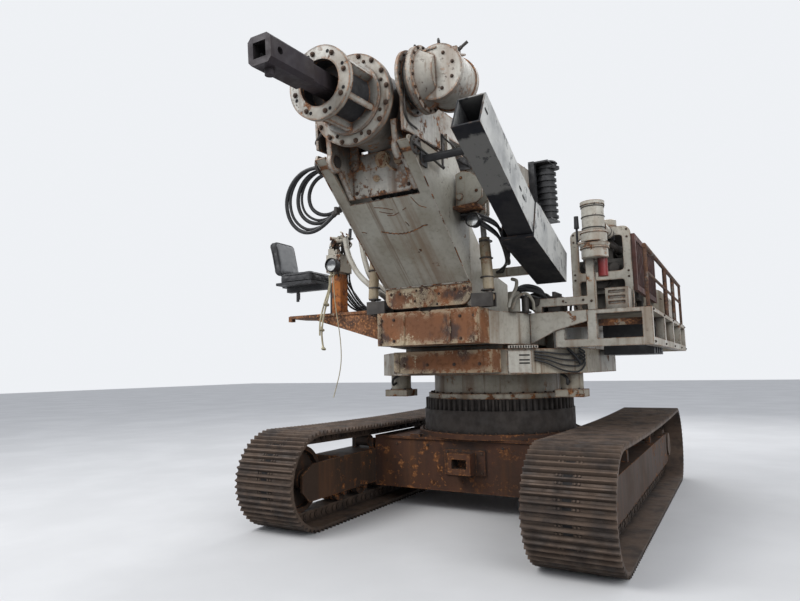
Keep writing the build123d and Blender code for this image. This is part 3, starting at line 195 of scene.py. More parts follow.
def worn_paint(name, paint, grime, rust=0.5, streaks=0.5, edges=0.6, gloss=0.42, offset=0.0, run=(1, 1, 0.09),
               edge_width=0.016, reach=0.22, crevice_shade=0.85, deep=(0.4, 0.86), underside_shade=0.0, low_rust=None):
    # Paint with dirt, painted shade in its corners and under it, dark chips, rust spots and runs, and bare
    # rusty edges
    look = Look(name, offset)
    dirt = look.cloud(1.7, 7, 0.4, 0.7)
    fine = look.cloud(24, 6, 0.45, 0.75, 0.0, 0.6, shift=1)
    runs = look.cloud(5.5, 6, 0.46, 0.72, 0.0, streaks, stretch=run, shift=2)
    thin_run = tuple(0.5 * part if part < 1 else 1.5 * part for part in run)
    drips = look.cloud(8, 5, 0.57, 0.7, 0.0, 1.1 * streaks, stretch=thin_run, shift=16)
    colour = mix(times(dirt, 0.75), paint, grime)
    colour = mix(times(fine, 0.55), colour, tuple(0.62 * c for c in grime))
    for marks, old, new in ((runs, 0.62, 0.38), (drips, 0.45, 0.3)):
        colour = mix(marks, colour, tuple(old * g + new * r for g, r in zip(grime, RUST_MID)))
    # Painted shade, near black, in corners and recesses
    colour = mix(times(look.painted_shade_mask(reach, *deep), crevice_shade), colour, (0.04, 0.034, 0.031))
    # Painted shade on the faces that turn down, where asked
    if underside_shade:
        below = ramp(look.coordinate("Normal", "Z"), -0.3, -0.8)
        colour = mix(times(below, underside_shade), colour, (0.06, 0.052, 0.047))
    worn = look.cloud(1.9, 4, 0.66 - 0.22 * rust, 0.86 - 0.22 * rust, shift=15)
    chips = look.cloud(21, 8, 0.585, 0.615, roughness=0.74, shift=14)
    colour = mix(times(chips, worn), colour, (0.07, 0.042, 0.03))
    spots = look.cloud(6.5, 10, 0.7 - 0.16 * rust, 0.74 - 0.16 * rust, roughness=0.68, shift=4)
    gate = look.cloud(1.1, 4, 0.56 - 0.16 * rust, 0.72 - 0.16 * rust, shift=6)
    if low_rust:
        gate = most(gate, ramp(look.coordinate("Object", "Z"), low_rust + 0.03, low_rust))
    broken = look.cloud(14, 8, 0.6 - 0.24 * edges, 0.66 - 0.2 * edges, shift=7)
    bare = most(times(spots, gate), times(look.edges(edge_width), broken))
    rough = plus(plus(times(bare, 0.42), times(dirt, 0.16)), gloss)
    height = plus(times(look.noise(60, 4), 0.35), maths("SUBTRACT", 0.5, times(bare, 0.4)))
    look.surface(mix(bare, colour, look.rust()), rough, height, 0.55, 0.004)
    put(look.inputs["Specular IOR Level"], 0.5 if gloss < 0.6 else 0.2)
    return look.material


def guard_paint(name):
    # Pale flecked side towards +X, and the other faces painted near black as shade, scoured pale near the
    # upper end
    look = Look(name)
    pale = mix(look.cloud(3.2, 8, 0.38, 0.66, shift=31), (0.62, 0.62, 0.59), (0.36, 0.365, 0.36))
    flecks = look.cloud(11, 9, 0.555, 0.6, stretch=(1, 1, 0.55), roughness=0.76, shift=33)
    pale = mix(times(flecks, 0.85), pale, (0.115, 0.118, 0.12))
    dark = mix(look.cloud(2.2, 6, 0.4, 0.62, shift=35), (0.006, 0.007, 0.011), (0.026, 0.026, 0.028))
    along = ramp(look.coordinate("Object", "Y"), SHIFT.y - 3.225, SHIFT.y - 1.99, kind="LINEAR")
    level = plus(along, times(look.noise(3.4, 7, shift=37), 0.3))
    scoured = times(ramp(level, 0.22, 0.25), ramp(level, 0.69, 0.64))
    marks = look.cloud(9, 7, 0.57, 0.62, roughness=0.7, shift=39)
    dark = mix(times(scoured, 0.9), dark, mix(marks, (0.27, 0.265, 0.25), (0.1, 0.1, 0.1)))
    # Pale on the faces towards +X, painted shade on the others
    colour = mix(ramp(look.coordinate("Normal", "X"), 0.3, 0.6), dark, pale)
    # Painted shade inside the guard, on its inner side and in its recesses
    inner = ramp(look.coordinate("Object", "X"), SHIFT.x + 0.9, SHIFT.x + 0.86)
    inner = most(inner, look.painted_shade_mask(0.4, 0.3, 0.66))
    colour = mix(times(inner, 0.92), colour, (0.022, 0.022, 0.024))
    chipped = times(look.edges(0.014), look.cloud(9, 8, 0.5, 0.56, shift=38))
    look.surface(mix(chipped, colour, (0.13, 0.085, 0.06)), look.cloud(14, 5, 0.3, 0.7, 0.42, 0.66),
            look.noise(44, 6, shift=31), 0.45, 0.003)
    put(look.inputs["Specular IOR Level"], 0.22)
    return look.material


def burnt_plate(name, offset, paint, speckle):
    # Smooth brown rust with darker burnt patches, and flecks of old paint thickest near the edges
    look = Look(name, offset)
    tone = look.cloud(1.4, 6, 0.35, 0.65)
    burnt = look.cloud(1.9, 8, 0.6 - 0.05 * speckle, 0.67 - 0.05 * speckle, stretch=(1, 1, 0.6),
                  roughness=0.62, shift=4)
    fine = look.cloud(30, 6, 0.45, 0.75, 0.0, 0.5, shift=2)
    flecks = look.noise(13, 10, roughness=0.72, shift=6)
    near = times(times(look.edges(0.11), 0.5), 0.34)
    patch = look.cloud(1.6, 3, 0.48, 0.72, 0.0, 0.16 * speckle, shift=8)
    left = ramp(plus(plus(flecks, near), patch), 0.64, 0.67)
    colour = mix(tone, (0.3, 0.115, 0.04), (0.19, 0.075, 0.03))
    colour = mix(burnt, colour, (0.06, 0.034, 0.026))
    colour = mix(fine, colour, (0.11, 0.05, 0.026))
    height = plus(times(look.noise(46, 8, roughness=0.7), 0.5), times(left, 0.4))
    look.surface(mix(left, colour, paint), ramp(fine, 0.0, 0.5, 0.68, 0.9), height, 0.6, 0.005)
    return look.material


def rusty(name, offset=0.0, paint_left=None, amount=0.3, dark=1.0, orange_below=None, shade=0.0):
    # Rust with dark runs, and with old paint left on it, darker or orange low down where that is asked for
    look = Look(name, offset)
    runs = look.cloud(4, 6, 0.42, 0.75, 0.0, 0.75, stretch=(1, 1, 0.12), shift=9)
    colour = mix(runs, look.rust(), tuple(dark * c for c in (0.15, 0.065, 0.032)))
    if paint_left:
        left = look.cloud(6, 10, 0.66 - 0.2 * amount, 0.7 - 0.2 * amount, roughness=0.66, shift=8)
        colour = mix(left, colour, paint_left)
    if shade:
        colour = mix(shade, colour, (0.045, 0.028, 0.022))
    if orange_below:
        flakes = look.cloud(17, 8, 0.46, 0.6, roughness=0.7, shift=3)
        orange = mix(flakes, (0.46, 0.155, 0.035), (0.17, 0.06, 0.022))
        low = ramp(look.coordinate("Object", "Z"), orange_below + 0.02, orange_below)
        colour = mix(low, colour, orange)
    # Painted shade in corners and recesses
    colour = mix(times(look.painted_shade_mask(0.12), 0.8), colour, (0.03, 0.02, 0.016))
    look.surface(colour, look.cloud(16, 6, 0.3, 0.7, 0.66, 0.95),
            look.noise(46, 8, roughness=0.7), 0.7, 0.006)
    return look.material


def steel(name, colour, dirt, rough=0.45, metal=0.8, offset=0.0, scratches=0.5):
    look = Look(name, offset)
    grime = look.cloud(5, 8, 0.4, 0.68)
    colour = mix(grime, colour, dirt)
    # Painted shade in corners and recesses, in a darker tone of the dirt colour
    colour = mix(times(look.painted_shade_mask(0.14), 0.8), colour, tuple(0.3 * c for c in dirt))
    look.surface(colour, look.cloud(12, 5, 0.3, 0.7, rough, rough + 0.3, shift=2),
            look.noise(70, 5, (1, 1, 0.4)), 0.3 * scratches, 0.003)
    put(look.inputs["Metallic"], times(maths("SUBTRACT", 1.0, grime), metal))
    return look.material


def rubber(name, colour, rough=0.5, scale=90, painted_sheen=None):
    look = Look(name)
    dust = look.cloud(9, 6, 0.45, 0.75, 0.0, 0.5)
    colour = mix(dust, colour, tuple(min(1, 2.6 * c + 0.03) for c in colour))
    if painted_sheen:
        # Painted sheen: paler where the faces turn towards +X
        colour = mix(ramp(look.coordinate("Normal", "X"), 0.7, 0.86), colour, painted_sheen)
    look.surface(colour, look.cloud(20, 4, 0.3, 0.7, rough, rough + 0.22), look.noise(scale, 4), 0.3, 0.002)
    return look.material


WHITE, GRIME = (0.6, 0.575, 0.5), (0.29, 0.24, 0.17)
HEAD_WHITE = (0.58, 0.555, 0.49)
VINYL = (0.026, 0.026, 0.028)
# Short name, the CAD nodes that have the material, and what makes it
LOOKS = (
    ("white", "side_platform upright_frame air_cleaner engine_frame rear_tank guard_tubes deck_frame "
     "battery_box",
     worn_paint("white_worn", WHITE, GRIME, 0.7, 0.7, 0.9)),
    ("white_arm", "arm_box tilt_brackets tilt_frame",
     worn_paint("white_arm", (0.52, 0.5, 0.425), (0.28, 0.235, 0.165), 0.5, 0.85, 1.0, offset=11,
                run=(1.6, 0.07, 0.07), reach=0.34, crevice_shade=0.5)),
    ("white_head", "rotary_case head_cheeks elbow_gearbox mast_frame",
     worn_paint("white_head", HEAD_WHITE, (0.24, 0.2, 0.15), 0.9, 0.75, 1.25, offset=23, edge_width=0.034,
                reach=0.3, crevice_shade=1.0, deep=(0.2, 0.64), underside_shade=0.55)),
    ("white_lugs", "head_lugs",
     worn_paint("white_lugs", HEAD_WHITE, (0.21, 0.17, 0.13), 1.1, 0.7, 1.3, offset=29, edge_width=0.036,
                reach=0.34, crevice_shade=1.0, deep=(0.24, 0.74))),
    ("white_quill", "quill",
     worn_paint("white_quill", (0.64, 0.62, 0.56), (0.26, 0.22, 0.165), 0.86, 0.5, 1.1, offset=27,
                edge_width=0.032, reach=0.3, crevice_shade=1.0, deep=(0.34, 0.78))),
    ("white_guard", "shaft_guard", guard_paint("white_guard")),
    ("white_base", "revolving_base swing_motors",
     worn_paint("white_base", (0.54, 0.495, 0.395), (0.27, 0.22, 0.15), 0.85, 0.9, 1.1, offset=43,
                edge_width=0.026, crevice_shade=0.6, low_rust=1.335)),
    ("rust_plate", "lower_bumper front_beam", burnt_plate("rust_plate", 5, (0.52, 0.42, 0.28), 1.1)),
    ("rust_foot", "arm_foot", burnt_plate("rust_foot", 15, (0.56, 0.46, 0.31), 2.6)),
    ("rust_rail", "handrails", rusty("rust_rail", 65, (0.42, 0.38, 0.32), 0.45, 0.5, shade=0.62)),
    ("maroon", "side_grille",
     steel("grille_maroon", (0.115, 0.05, 0.04), (0.055, 0.028, 0.024), 0.55, 0.2, 151)),
    ("mottled", "controls", rusty("mottled", 75, (0.52, 0.48, 0.4), 1.15, 0.5, 2.635)),
    ("red", "", worn_paint("red_can", (0.27, 0.018, 0.018), (0.1, 0.014, 0.014), 0.4, 0.3, 0.6, 0.35, 161)),
    ("rust_dark", "operator_platform", rusty("rust_dark", 25, (0.36, 0.31, 0.23), 0.35, 0.5)),
    ("car_body", "car_body tow_hitch",
     worn_paint("car_body_brown", (0.088, 0.04, 0.025), (0.06, 0.036, 0.026), 1.05, 0.8, 0.8, 0.6, 51)),
    ("track", "track_left track_right sprockets",
     steel("track_steel", (0.132, 0.092, 0.068), (0.04, 0.028, 0.022), 0.56, 0.4, 61)),
    ("frame", "track_frames idlers track_rollers",
     worn_paint("frame_dark", (0.056, 0.036, 0.026), (0.068, 0.044, 0.031), 0.95, 0.7, 0.7, 0.6, 71)),
    ("ring", "swing_ring", steel("ring_steel", (0.062, 0.052, 0.046), (0.028, 0.022, 0.019), 0.55, 0.5, 81)),
    ("kelly", "kelly", steel("kelly_steel", (0.036, 0.029, 0.034), (0.022, 0.014, 0.015), 0.48, 0.25, 91)),
    ("dark", "crosshead tilt_bearings pivot_pins hose_fittings",
     steel("dark_steel", (0.085, 0.077, 0.07), (0.03, 0.025, 0.022), 0.45, 0.5, 101)),
    ("black", "seat_post left_lamp crowd_barrels lift_barrels mast_tail right_lamp",
     rubber("black_parts", (0.016, 0.016, 0.018), 0.42, 60)),
    ("hose", "hose_1 hose_2 hose_3", rubber("hose_rubber", (0.012, 0.012, 0.013), 0.36, 220)),
    ("pale_hose", "",
     worn_paint("pale_hose", (0.4, 0.385, 0.33), (0.2, 0.18, 0.14), 0.5, 0.4, 0.4, 0.5, 171)),
    ("gold", "tilt_barrel_left tilt_barrel_right",
     worn_paint("gold_barrel", (0.4, 0.325, 0.215), (0.12, 0.085, 0.055), 0.8, 0.7, 1.0, 0.35, 111,
                reach=0.1)),
    ("chrome", "tilt_rod_left tilt_rod_right lift_rods",
     steel("rod_chrome", (0.62, 0.62, 0.62), (0.25, 0.23, 0.2), 0.16, 1.0, 121, 0.2)),
    ("engine", "engine", steel("engine_paint", (0.16, 0.15, 0.13), (0.05, 0.045, 0.04), 0.5, 0.3, 131)),
    ("seat", "seat_cushion seat_back", rubber("seat_vinyl", VINYL, 0.45, 160)),
    # Seat back's vinyl, with a painted sheen on its front
    ("seat_sheen", "", rubber("seat_vinyl_sheen", VINYL, 0.45, 160, (0.24, 0.245, 0.25))),
    ("rope", "rope thin_line", rubber("pale_rope", (0.4, 0.35, 0.24), 0.85, 300)),
    ("lens", "", lamp_glass("lamp_lens")),
    ("bolt", "", steel("bolt_steel", (0.13, 0.08, 0.055), (0.05, 0.032, 0.024), 0.55, 0.5, 141)),
    # Near black, painted in holes and slots as the shade inside them
    ("hole", "", rubber("hole_shade", (0.006, 0.005, 0.005), 0.8, 40)),
    ("weld", "", rusty("weld_bead", 45, (0.55, 0.51, 0.44), 0.95)),
    ("weld_dark", "", rusty("weld_dark", 55, dark=0.5)),
)
M = {}
for key, names, material in LOOKS:
    M[key] = material
    for name in names.split():
        data = NODES[name].data
        data.materials.clear()
        data.materials.append(material)

# Slot name for each material, white_paint where none is named
SLOTS = {"bolt": "dark_steel", "dark": "dark_steel", "rust_dark": "dark_steel", "hole": "black_paint",
         "black": "black_paint", "hose": "hose_rubber", "rope": "pale_rope", "seat": "seat_vinyl",
         "seat_sheen": "seat_vinyl", "track": "track_steel", "mottled": "rusty_steel", "lens": None}


def add(name, data, material, body, slot=""):
    piece = place_object(name, data)
    data.materials.append(M[material])
    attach(piece, body)
    slot = slot or SLOTS.get(material, "white_paint")
    return piece


# Free hoses and ropes: the same route points as the solids, in metres
def route_curve(name, points, diameter):
    curve = bpy.data.curves.new(name, "CURVE")
    curve.dimensions = "3D"
    curve.bevel_depth = diameter / 2
    curve.bevel_resolution = 5
    curve.resolution_u = 10
    curve.use_fill_caps = True
    spline = curve.splines.new("NURBS")
    spline.points.add(len(points) - 1)
    for point, place in zip(spline.points, points):
        point.co = (*at(*place), 1)
    spline.order_u = 3
    spline.use_endpoint_u = True
    return curve


HOSES = (
    ("hose_1", 1.278, ((-0.52, -2.82, 3.415), (-0.69, -2.825, 3.435), (-0.865, -2.835, 3.35),
                       (-0.96, -2.835, 3.17), (-0.935, -2.81, 2.965), (-0.8, -2.775, 2.835),
                       (-0.62, -2.735, 2.865), (-0.515, -2.7, 2.985))),
    ("hose_2", 1.049, ((-0.52, -2.765, 3.41), (-0.665, -2.765, 3.42), (-0.805, -2.775, 3.335),
                       (-0.868, -2.78, 3.18), (-0.84, -2.765, 3.02), (-0.725, -2.73, 2.925),
                       (-0.59, -2.67, 2.95), (-0.505, -2.62, 3.045))),
    ("hose_3", 0.833, ((-0.52, -2.71, 3.395), (-0.64, -2.71, 3.39), (-0.745, -2.718, 3.31),
                       (-0.785, -2.718, 3.19), (-0.75, -2.705, 3.07), (-0.65, -2.665, 3.01),
                       (-0.555, -2.6, 3.045), (-0.505, -2.545, 3.125))),
)
for node, length, points in HOSES:
    curve = route_curve(node + "_flex", points, 0.036)
    piece = add(node + "_flex", curve, "hose", "arm", "hose_rubber")
    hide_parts(node)

ROPES = (
    ("rope", 0.853, 0.02, ((-1.165, -1.85, 2.64), (-1.165, -1.85, 2.49), (-1.225, -1.855, 2.3),
                            (-1.278, -1.855, 2.11), (-1.295, -1.855, 1.94), (-1.268, -1.85, 1.805))),
    ("thin_line", 1.361, 0.01, ((-1.13, -1.85, 2.64), (-1.13, -1.85, 2.52), (-1.12, -1.855, 2.39),
                                 (-1.102, -1.855, 2.25), (-1.078, -1.855, 2.11), (-1.055, -1.85, 1.97),
                                 (-1.04, -1.85, 1.83), (-1.036, -1.85, 1.69), (-1.055, -1.855, 1.55),
                                 (-1.095, -1.855, 1.425), (-1.14, -1.85, 1.3))),
)
for node, length, width, points in ROPES:
    curve = route_curve(node + "_strand", points, width)
    piece = add(node + "_strand", curve, "rope", "upper", "pale_rope")
    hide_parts(node)

# Small fittings, each built as rods, boxes, bolts and tubes in one mesh
PIVOT = Vector((0, -2.93, 3.38))
DROOP = Matrix.Translation(PIVOT) @ Matrix.Rotation(math.radians(4), 4, "X") @ Matrix.Translation(-PIVOT)
KELLY_HEIGHT, ELBOW_HEIGHT = 3.8, 3.9
# Middles of the air cleaner and of the mast's tail from above, and the deck's top
CLEANER, TAIL, DECK_TOP = (1.44, -1.005), (0.5223, 0.725), 2.131


def rod(bm, start, end, radius, sides=14, top=None):
    start, end = Vector(start), Vector(end)
    run = end - start
    turn = run.to_track_quat("Z", "Y").to_matrix().to_4x4()
    bmesh.ops.create_cone(bm, cap_ends=True, segments=sides, radius1=radius,
                          radius2=radius if top is None else top, depth=run.length,
                          matrix=Matrix.Translation((start + end) / 2) @ turn)


def stack(bm, start, way, *steps):
    # Rods one on the other, each as its length, radius, sides and perhaps the radius at its top
    start, way = Vector(start), Vector(way).normalized()
    for length, *shape in steps:
        rod(bm, start, start + way * length, *shape)
        start = start + way * length


def box(bm, low, high, turn=0.0):
    low, high = Vector(low), Vector(high)
    place = Matrix.Translation((low + high) / 2) @ Matrix.Rotation(turn, 4, "Z")
    bmesh.ops.create_cube(bm, size=1, matrix=place @ Matrix.Diagonal((*(high - low), 1)))


def slab(bm, middle, *halves):
    # Closed block from its middle and three half axes
    axes = Matrix(halves).transposed().to_4x4()
    bmesh.ops.create_cube(bm, size=2, matrix=Matrix.Translation(middle) @ axes)


def skin(bm, one, two):
    # Faces between two rings of vertices
    for k in range(len(one)):
        n = (k + 1) % len(one)
        bm.faces.new((one[k], one[n], two[n], two[k]))


def prism(bm, outline, shift):
    # Closed block between a flat outline and the same outline moved
    rings = [[bm.verts.new(Vector(point) + part * Vector(shift)) for point in outline] for part in (0, 1)]
    for ring in rings:
        bm.faces.new(ring)
    skin(bm, *rings)


def bolt(bm, place, way, size):
    # Washer, hexagon head and the stub of its stud
    stack(bm, place, way, (size * 0.25, size * 1.25, 16), (size * 0.7, size, 6), (size * 0.4, size * 0.5, 10))


def bolts(bm, way, size, *axes):
    # Bolts at every mix of the x, y and z values, each given as one number or several
    for place in product(*(axis if isinstance(axis, tuple) else (axis,) for axis in axes)):
        bolt(bm, place, way, size)


def ring_places(centre, way, radius, count, start=0.0):
    # Points of a circle round the line through its centre
    centre, way = Vector(centre), Vector(way).normalized()
    first = way.orthogonal().normalized()
    second = way.cross(first)
    turns = [start + math.tau * number / count for number in range(count)]
    return [centre + radius * (math.cos(turn) * first + math.sin(turn) * second) for turn in turns]


def bolt_ring(bm, centre, way, radius, count, size, start=0.0):
    for place in ring_places(centre, way, radius, count, start):
        bolt(bm, place, way, size)


def tube(bm, points, radius, sides=10, steps=6, closed=False):
    # Round tube along a smooth line through the points
    points = [Vector(point) for point in points]
    if closed:
        padded = points[-1:] + points + points[:2]
    else:
        padded = [2 * points[0] - points[1]] + points + [2 * points[-1] - points[-2]]
    line = []
    for a, b, c, d in zip(padded, padded[1:], padded[2:], padded[3:]):
        for step in range(steps):
            t = step / steps
            line.append(0.5 * (2 * b + (c - a) * t + (2 * a - 5 * b + 4 * c - d) * t * t
                               + (3 * b - a - 3 * c + d) * t ** 3))
    if not closed:
        line.append(points[-1])
    around = line[-1:] + line + line[:1] if closed else line[:1] + line + line[-1:]
    rings, normal = [], None
    for behind, here, ahead in zip(around, around[1:], around[2:]):
        way = (ahead - behind).normalized()
        normal = way.orthogonal() if normal is None else normal - way * normal.dot(way)
        normal.normalize()
        other = way.cross(normal)
        turns = [math.tau * k / sides for k in range(sides)]
        rings.append([bm.verts.new(here + radius * (math.cos(turn) * normal + math.sin(turn) * other))
                      for turn in turns])
    for one, two in zip(rings, rings[1:] + rings[:1] if closed else rings[1:]):
        skin(bm, one, two)
    if not closed:
        bm.faces.new(reversed(rings[0]))
        bm.faces.new(rings[-1])


def hoop(bm, centre, way, radius, thick, sides=10, count=20):
    tube(bm, ring_places(centre, way, radius, count), thick, sides, 1, True)


SHARP_ANGLE = math.radians(35)


def fitting(name, build, material, body, slot=""):
    # What the drill head carries is built level and drooped with it
    bm = bmesh.new()
    build(bm)
    bmesh.ops.recalc_face_normals(bm, faces=bm.faces)
    turn = DROOP if body in ("mast", "quill") else Matrix.Identity(4)
    bmesh.ops.transform(bm, matrix=Matrix.Translation(SHIFT) @ turn, verts=bm.verts)
    data = bpy.data.meshes.new(name)
    bm.to_mesh(data)
    bm.free()
    data.shade_smooth()
    data.set_sharp_from_angle(angle=SHARP_ANGLE)
    add(name, data, material, body, slot)


def fits(material, body, slot=""):
    # Marks a function that builds the piece of its own name
    def made(build):
        fitting(build.__name__, build, material, body, slot)
        return build
    return made


@fits("bolt", "mast")
def case_bolts(bm):
    for radius, count, size, start in ((0.35, 16, 0.017, 0.1), (0.315, 8, 0.012, 0.3)):
        bolt_ring(bm, (0, -3.13, KELLY_HEIGHT), FRONT, radius, count, size, start)
    bolts(bm, FRONT, 0.014, (-0.265, 0.265), -2.69, (3.14, 3.43))


@fits("bolt", "quill")
def quill_bolts(bm):
    bolt_ring(bm, (0, -3.55, KELLY_HEIGHT), FRONT, 0.235, 8, 0.016, 0.2)


@fits("hole", "quill")
def quill_holes(bm):
    # Holes in the quill's ring, as thin dark discs painted with the shade inside them
    for place in ring_places((0, -3.55, KELLY_HEIGHT), FRONT, 0.238, 8, math.pi / 8):
        stack(bm, place, FRONT, (0.0015, 0.014, 20))


@fits("black", "quill")
def quill_sleeve(bm):
    # Dark sleeve that fills the quill's cage and covers its tube, as painted shade for the cage's inside
    rings = [[bm.verts.new(place) for place in ring_places((0, y, KELLY_HEIGHT), FRONT, radius, 48)]
             for radius, y in ((0.207, -3.507), (0.207, -3.166), (0.185, -3.166), (0.185, -3.507))]
    for first, second in zip(rings, rings[1:] + rings[:1]):
        skin(bm, first, second)


@fits("bolt", "mast")
def elbow_bolts(bm):
    for x, y, way, radius, count, size, start in (
            (0.585, -2.885, LEFT, 0.25, 16, 0.011, 0.15), (0.715, -2.64, BACK, 0.185, 12, 0.012, 0.1),
            (0.715, -2.98, FRONT, 0.15, 8, 0.012, 0.3), (0.4623, -2.885, LEFT, 0.235, 14, 0.01, 0.1)):
        bolt_ring(bm, (x, y, ELBOW_HEIGHT), way, radius, count, size, start)


@fits("dark", "mast")
def elbow_eyes(bm):
    for x, y, z in ((0.5, -2.89, 4.1), (0.7, -2.86, 4.108)):
        rod(bm, (x, y, z - 0.02), (x, y, z + 0.02), 0.022, 16)
        rod(bm, (x, y, z + 0.018), (x, y, z + 0.045), 0.012, 12)
        hoop(bm, (x, y, z + 0.075), (1, 0.3, 0), 0.03, 0.009, 10, 18)


@fits("white_head", "mast")
def elbow_brackets(bm):
    # Folded plates over the bell and a boss for the pipe
    for x0, x1, z0, z1, y in ((0.6, 0.73, 4.085, 4.125, -2.99), (0.74, 0.87, 4.02, 4.06, -2.9)):
        corners = ((x0, y, z0), (x1, y, z0), (x1 + 0.02, y + 0.13, z1), (x0 - 0.01, y + 0.13, z1))
        prism(bm, corners, (0, 0, 0.014))
    box(bm, (0.8, -2.93, 4.0), (0.88, -2.85, 4.085))


@fits("dark", "mast")
def elbow_pipe(bm):
    rod(bm, (0.845, -2.89, 4.045), (0.905, -2.885, 4.082), 0.017, 6)
    rod(bm, (0.905, -2.885, 4.082), (0.955, -2.88, 4.112), 0.012, 12)
    rod(bm, (0.8, -2.935, 4.04), (0.8, -2.96, 4.04), 0.018, 6)


@fits("dark", "mast")
def head_pipes(bm):
    # Thin lines on the head and the neck's cover straps
    tube(bm, [(0.44, -2.99, 3.86), (0.47, -3.06, 3.8), (0.46, -3.05, 3.66), (0.445, -2.98, 3.57),
              (0.46, -2.86, 3.53)], 0.009)
    tube(bm, [(-0.36, -3.05, 3.62), (-0.45, -3.02, 3.56), (-0.47, -2.92, 3.55), (-0.45, -2.8, 3.6)], 0.011)
    for x in (0.475, 0.52):
        hoop(bm, (x, -2.885, ELBOW_HEIGHT), LEFT, 0.204, 0.006, 8, 40)


@fits("white_head", "mast")
def head_link(bm):
    # Link plate with two pins beside the foot plate
    for z, radius in ((3.545, 0.05), (3.385, 0.044)):
        stack(bm, (-0.262, -2.7, z), FRONT, (0.022, radius, 28), (0.01, 0.02, 18))
    box(bm, (-0.306, -2.72, 3.385), (-0.216, -2.701, 3.545))


@fits("rust_foot", "mast")
def foot_splash(bm):
    # Raised pads and lugs welded on the foot plate
    for x, z, radius in ((0.19, 3.375, 0.055), (0.02, 3.4, 0.075), (-0.05, 3.24, 0.03)):
        stack(bm, (x, -2.69, z), FRONT, (0.022, radius, 26, radius * 0.9), (0.01, radius * 0.45, 20))
    tube(bm, [(0.06, -2.7, 3.42), (0.08, -2.74, 3.36), (0.12, -2.74, 3.3), (0.15, -2.7, 3.28)], 0.01)


# The arm's sloping front face, from its foot to its head
SLOPE_LOW, SLOPE_HIGH = Vector((0, -1.87, 2.38)), Vector((0, -3.03, 3.4))
SLOPE_RUN = SLOPE_HIGH - SLOPE_LOW
SLOPE_OUT = Vector((0, -SLOPE_RUN.z, SLOPE_RUN.y)).normalized()


def on_slope(x, part, lift=0.0):
    return SLOPE_LOW + SLOPE_RUN * part + SLOPE_OUT * lift + Vector((x, 0, 0))


@fits("weld", "arm")
def arm_welds(bm):
    for x in (-0.461, 0.461):
        tube(bm, [on_slope(x, k / 40, 0.001 + 0.0012 * math.sin(5 * k)) for k in range(41)], 0.006, 6, 2)
    tube(bm, [on_slope(-0.455 + 0.91 * k / 30, 0.012, 0.002 + 0.0012 * math.sin(7 * k)) for k in range(31)],
         0.007, 6, 2)


@fits("weld_dark", "arm")
def arm_crack(bm):
    # Curved repair weld across the sloping face, and the short scars above it
    waves = [0.003 * math.sin(3 * k) - 0.034 * math.sin(math.pi * min(1, k / 22)) for k in range(25)]
    tube(bm, [on_slope(-0.18 + 0.02 * k, 0.46 + wave, 0.0008) for k, wave in enumerate(waves)], 0.006, 6, 2)
    for points in (
            ((-0.13, 0.632), (-0.04, 0.618), (0.04, 0.596)), ((-0.1, 0.6), (-0.02, 0.578), (0.02, 0.574)),
            ((-0.04, 0.566), (0.02, 0.56), (0.08, 0.572)), ((0.13, 0.585), (0.15, 0.59), (0.17, 0.596)),
            ((-0.385, 0.476), (-0.36, 0.474), (-0.335, 0.464)), ((0.26, 0.66), (0.3, 0.6), (0.36, 0.575)),
            ((0.1, 0.505), (0.115, 0.49), (0.12, 0.47))):
        tube(bm, [on_slope(x, part, 0.0004) for x, part in points], 0.0035, 6, 5)


@fits("bolt", "arm")
def arm_bolts(bm):
    for side in (1, -1):
        bolt_ring(bm, (side * 0.4873, PIVOT.y, PIVOT.z), (side, 0, 0), 0.056, 6, 0.01)
    bolt_ring(bm, (0, -1.87, 2.275), FRONT, 0.135, 8, 0.01, 0.2)
    bolts(bm, FRONT, 0.013, (-0.4, -0.3, 0.3, 0.4), -1.87, 2.33)


@fits("rust_foot", "arm", "dark_steel")
def foot_rings(bm):
    for radius, thick in ((0.092, 0.007), (0.06, 0.005)):
        hoop(bm, (0, -1.899, 2.275), BACK, radius, thick, 8, 36)
    stack(bm, (0, -1.898, 2.275), FRONT, (0.01, 0.02, 12))


@fits("hose", "arm")
def arm_harness(bm):
    # Bundle of hoses that hangs between the arm and the guard
    for number in range(4):
        x = 0.735 + 0.028 * (number % 2)
        drop = 0.045 * number
        tube(bm, [(0.47, -2.06 + 0.03 * number, 2.99), (0.6, -2.01, 2.99 - 0.5 * drop),
                  (x, -1.9, 2.92 - drop), (x + 0.01, -1.74, 2.83 - drop), (x - 0.03, -1.52, 2.73 - drop),
                  (0.62, -1.3, 2.62), (0.46 + 0.02 * number, -1.13, 2.575)], 0.015, 10, 5)


@fits("hose", "arm")
def loop_hoses(bm):
    # Thinner hoses between the three that hang beside the arm
    for (_, _, outer), (_, _, inner), radius in zip(HOSES, HOSES[1:], (0.014, 0.012)):
        middle = [((x + u) / 2, (y + v) / 2 - 0.012, (z + w) / 2)
                  for (x, y, z), (u, v, w) in zip(outer, inner)]
        tube(bm, [(-0.468, *middle[0][1:])] + middle + [(-0.468, *middle[-1][1:])], radius, 12, 5)


# The guard's lower edge from its front end towards the knee, and the way up its side
GUARD_START = Vector((0, -3.225, 3.316))
GUARD_RUN = (Vector((0, -2.048, 2.71)) - GUARD_START).normalized()
GUARD_UP = Vector((0, -GUARD_RUN.z, GUARD_RUN.y))


def guard_at(x, along, up):
    return GUARD_START + GUARD_RUN * along + GUARD_UP * up + Vector((x, 0, 0))


@fits("hole", "arm")
def guard_slots(bm):
    # Slots of the guard's outer side, as thin dark pieces painted with the shade inside them
    for along, up in ((0.06, 0.165), (0.88, 0.145), (0.97, 0.125), (1.355, 0.115)):
        for end in (-0.02, 0.02):
            stack(bm, guard_at(1.1495, along + end, up), LEFT, (0.0017, 0.013, 16))
        slab(bm, guard_at(1.15, along, up), Vector((0.0011, 0, 0)), GUARD_RUN * 0.02, GUARD_UP * 0.013)


